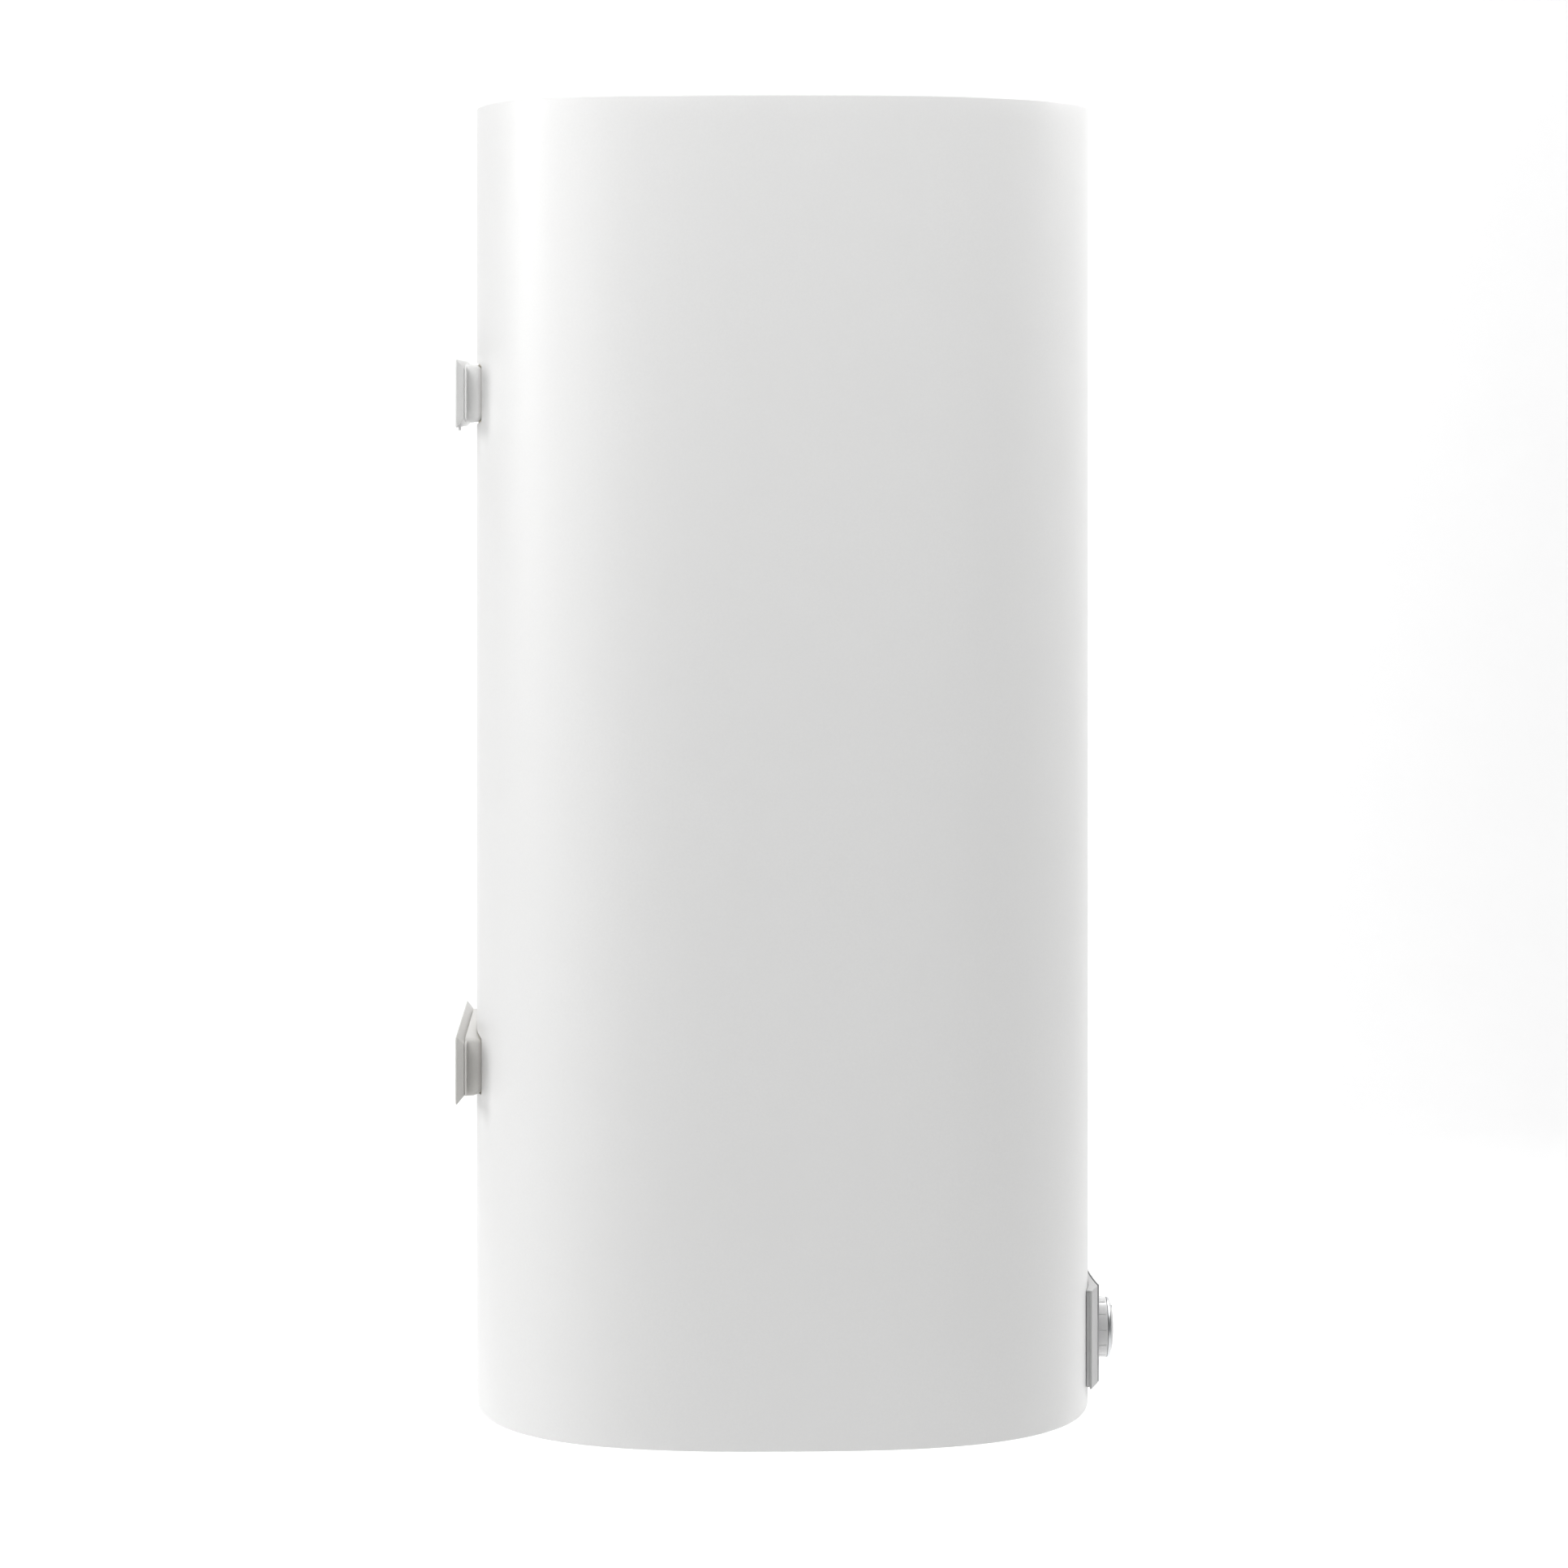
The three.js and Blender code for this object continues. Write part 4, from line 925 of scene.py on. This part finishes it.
def make_knob_grip():
    """A turned skirt with narrow grip grooves, a face disc and a hub on the spindle."""
    inner = KNOB_RADIUS - 2.5 * MM
    hub = 5.8 * MM
    bore = 3.3 * MM
    disc = KNOB_RIM + 2 * MM
    profile = [
        (0, KNOB_RIM + 4 * MM), (bore, KNOB_RIM + 4 * MM), (bore, KNOB_START), (hub, KNOB_START),
        (hub, disc), (inner, disc), (inner, KNOB_START), (KNOB_RADIUS - 0.5 * MM, KNOB_START),
        (KNOB_RADIUS - 0.1 * MM, KNOB_START - 0.2 * MM), (KNOB_RADIUS, KNOB_START - 0.6 * MM),
        (KNOB_RADIUS, KNOB_RIM + 0.3 * MM),
        (KNOB_RADIUS - 0.3 * MM, KNOB_RIM), (0, KNOB_RIM),
    ]
    mesh = turned_mesh("knob_ribbed_grip", profile, KNOB_CENTRE, along="y", steps=96)
    cutters = []
    for i in range(GROOVES):
        angle = 2 * math.pi * (i + GROOVE_PHASE) / GROOVES
        reach = KNOB_RADIUS + 0.25 * MM
        groove = KNOB_CENTRE + Vector((reach * math.cos(angle), 0, reach * math.sin(angle)))
        cutters.append(front_cutter(groove, 0.75 * MM, KNOB_RIM + 1.4 * MM, KNOB_START + 1 * MM, steps=20))
    return make_piece("knob_ribbed_grip", cut_mesh(mesh, cutters), "knob_grip", smooth_angle=30)


def make_knob_ring():
    low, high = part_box("knob_ring")
    outer, inner = KNOB_RADIUS - 0.2 * MM, KNOB_RADIUS - 4 * MM
    back, front = high.y, low.y
    profile = [(inner, back), (outer, back)]
    for i in range(1, 9):
        angle = math.pi / 2 * i / 8
        profile.append((outer - 2.0 * MM * (1 - math.cos(angle)), back + (front - back) * math.sin(angle)))
    profile.append((inner, front))
    mesh = turned_mesh("knob_bright_ring", profile, KNOB_CENTRE, along="y", steps=96, closed_path=True)
    return make_piece("knob_bright_ring", mesh, "knob_ring", smooth_angle=35)


def make_knob_cap():
    """The domed cap, with a slot for the pointer."""
    low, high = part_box("knob_cap")
    radius = (high.x - low.x) / 2
    back, crown = high.y, low.y
    edge = 2.7 * MM
    profile = [(0, back), (radius, back), (radius, back - edge + 0.3 * MM)]
    for i in range(13):
        angle = math.pi / 2 * i / 12
        profile.append((
            radius * math.cos(angle) - 0.3 * MM * math.cos(angle),
            back - edge + (crown - back + edge) * math.sin(angle),
        ))
    mesh = turned_mesh("knob_domed_cap", profile, KNOB_CENTRE, along="y", steps=96)
    mark = node_centre("knob_pointer")
    mark_size = node_size("knob_pointer")
    outline = rounded_rectangle(mark_size.x / 2 + 0.2 * MM, mark_size.z / 2 + 0.2 * MM, 0.6 * MM)
    depths = (crown - 3 * MM, mark.y + mark_size.y / 2)
    slot = loft_mesh("cutter", [[Vector((mark.x + x, y, mark.z + z)) for x, z in outline] for y in depths])
    return make_piece("knob_domed_cap", cut_mesh(mesh, [slot]), "knob_cap", smooth_angle=35)


def make_knob_pointer():
    low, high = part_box("knob_pointer")
    centre = node_centre("knob_pointer")
    outline = rounded_rectangle((high.x - low.x) / 2, (high.z - low.z) / 2, 0.6 * MM)
    bevel = 0.5 * MM
    rings = []
    for y, shrink in ((high.y, 1.0), (low.y + bevel, 1.0), (low.y + 0.1 * MM, 0.8)):
        rings.append([Vector((centre.x + x * shrink, y, centre.z + z * shrink)) for x, z in outline])
    return make_piece("knob_mark", loft_mesh("knob_mark", rings), "knob_pointer", smooth_angle=35)


# ---------------------------------------------------------------- the frame's own nodes keep their shapes
def finish_frame_nodes():
    """Gives each CAD node that is still shown its slot's finish."""
    for name, node in frame["nodes"].items():
        if node.hide_render:
            continue
        node.data.materials.clear()
        node.data.materials.append(finish_for(name))


# ---------------------------------------------------------------- camera, light and floor
def aim(thing, place, target):
    thing.location = place
    thing.rotation_euler = (Vector(target) - Vector(place)).to_track_quat("-Z", "Y").to_euler()


def make_camera():
    """The heater's left side, from 3.7 m at the height of the upper bracket, with the view shifted down."""
    data = bpy.data.cameras.new("side_view")
    camera = bpy.data.objects.new("side_view", data)
    bpy.context.scene.collection.objects.link(camera)
    data.sensor_width = 36
    data.lens = 115.6
    data.shift_x = 0.0009
    data.shift_y = -0.249
    data.clip_end = 60
    camera.location = (-3.740, -0.1445, 0.0)
    look = Vector((0.99968, -0.02513, 0))
    camera.rotation_euler = look.to_track_quat("-Z", "Y").to_euler()
    bpy.context.scene.camera = camera


def area_light(name, place, target, size, size_y, power):
    data = bpy.data.lights.new(name, "AREA")
    data.shape = "RECTANGLE"
    data.size = size
    data.size_y = size_y
    data.energy = power
    light = bpy.data.objects.new(name, data)
    bpy.context.scene.collection.objects.link(light)
    aim(light, place, target)


def make_lights():
    """Soft boxes: the rear and left ones brighten the wall side, the front ones its opposite edge."""
    middle = Vector((0, AXIS_Y, (BASE_Z + TOP_Z) / 2))
    upper = Vector((0, AXIS_Y, 0))
    area_light("rear_box", (0.4, 3.1, 0.9), middle, 1.6, 2.0, 46)
    area_light("left_box", (-1.5, 2.6, 0.9), middle, 1.8, 2.0, 15)
    area_light("key_box", (-3.4, 1.4, 2.2), middle, 1.6, 1.6, 51)
    area_light("side_box", (-1.9, 0.3, 1.5), upper, 1.2, 1.2, 23)
    area_light("front_box", (-0.5, -2.2, 1.5), upper, 0.9, 0.9, 31)
    area_light("front_edge_box", (1.0, -2.0, 1.2), upper, 0.9, 1.4, 25)
    area_light("front_rear_box", (1.6, -2.9, 1.5), middle, 1.4, 1.4, 18)
    area_light("backdrop_box", (1.6, 0.0, 3.6), (6.5, 0, 0), 3.0, 3.0, 340)


def make_world():
    world = bpy.data.worlds.new("studio")
    world.use_nodes = True
    background = world.node_tree.nodes["Background"]
    background.inputs["Color"].default_value = (1, 1, 1, 1)
    background.inputs["Strength"].default_value = 0.05
    bpy.context.scene.world = world


def make_floor():
    """A plain pale floor, well below the hanging heater, with a soft sweep up behind it."""
    drop = BASE_Z - 0.55
    width, start, end, bend = 9.0, -9.0, 7.0, 2.0
    profile = [(start, drop), (end - bend, drop)]
    for i in range(1, 17):
        angle = math.pi / 2 * i / 16
        profile.append((end - bend + bend * math.sin(angle), drop + bend * (1 - math.cos(angle))))
    profile.append((end, drop + 9))
    bm = bmesh.new()
    rows = [[bm.verts.new((x, y, z)) for y in (-width, width)] for x, z in profile]
    for near, far in zip(rows, rows[1:]):
        bm.faces.new((near[0], near[1], far[1], far[0]))
    for face in bm.faces:
        face.smooth = True
    mesh = bpy.data.meshes.new("floor")
    bm.to_mesh(mesh)
    bm.free()
    floor = bpy.data.objects.new("floor", mesh)
    bpy.context.scene.collection.objects.link(floor)
    paper = Finish("floor_paper", (0.93, 0.93, 0.93), 0.9)
    paper.mottle(0.4, 0.01)
    mesh.materials.append(paper.material)


# ---------------------------------------------------------------- the scene
make_camera()
make_world()
make_lights()
make_floor()

make_casing()
make_top_cover()
make_bottom_cover()
for screw in (1, 2):
    make_cover_screw(screw)
for bracket, has_tab in (("upper", True), ("lower", False)):
    make_bracket_plate(bracket, has_tab)
    make_bracket_leg(bracket)
make_pipe("cold_inlet_pipe", "cold_inlet_stub")
make_pipe("hot_outlet_pipe", "hot_outlet_stub")
for water in ("cold", "hot"):
    make_ring(f"{water}_water_ring", f"{water}_colour_ring", 0.8 * MM)
    make_ring(f"{water}_pipe_grommet", f"{water}_grommet", 0.6 * MM)
make_gland()
make_panel_foot()
make_panel_housing()
make_panel_fascia()
make_lamp_lens()
make_knob_grip()
make_knob_ring()
make_knob_cap()
make_knob_pointer()
finish_frame_nodes()

bpy.context.scene.view_settings.view_transform = "Standard"
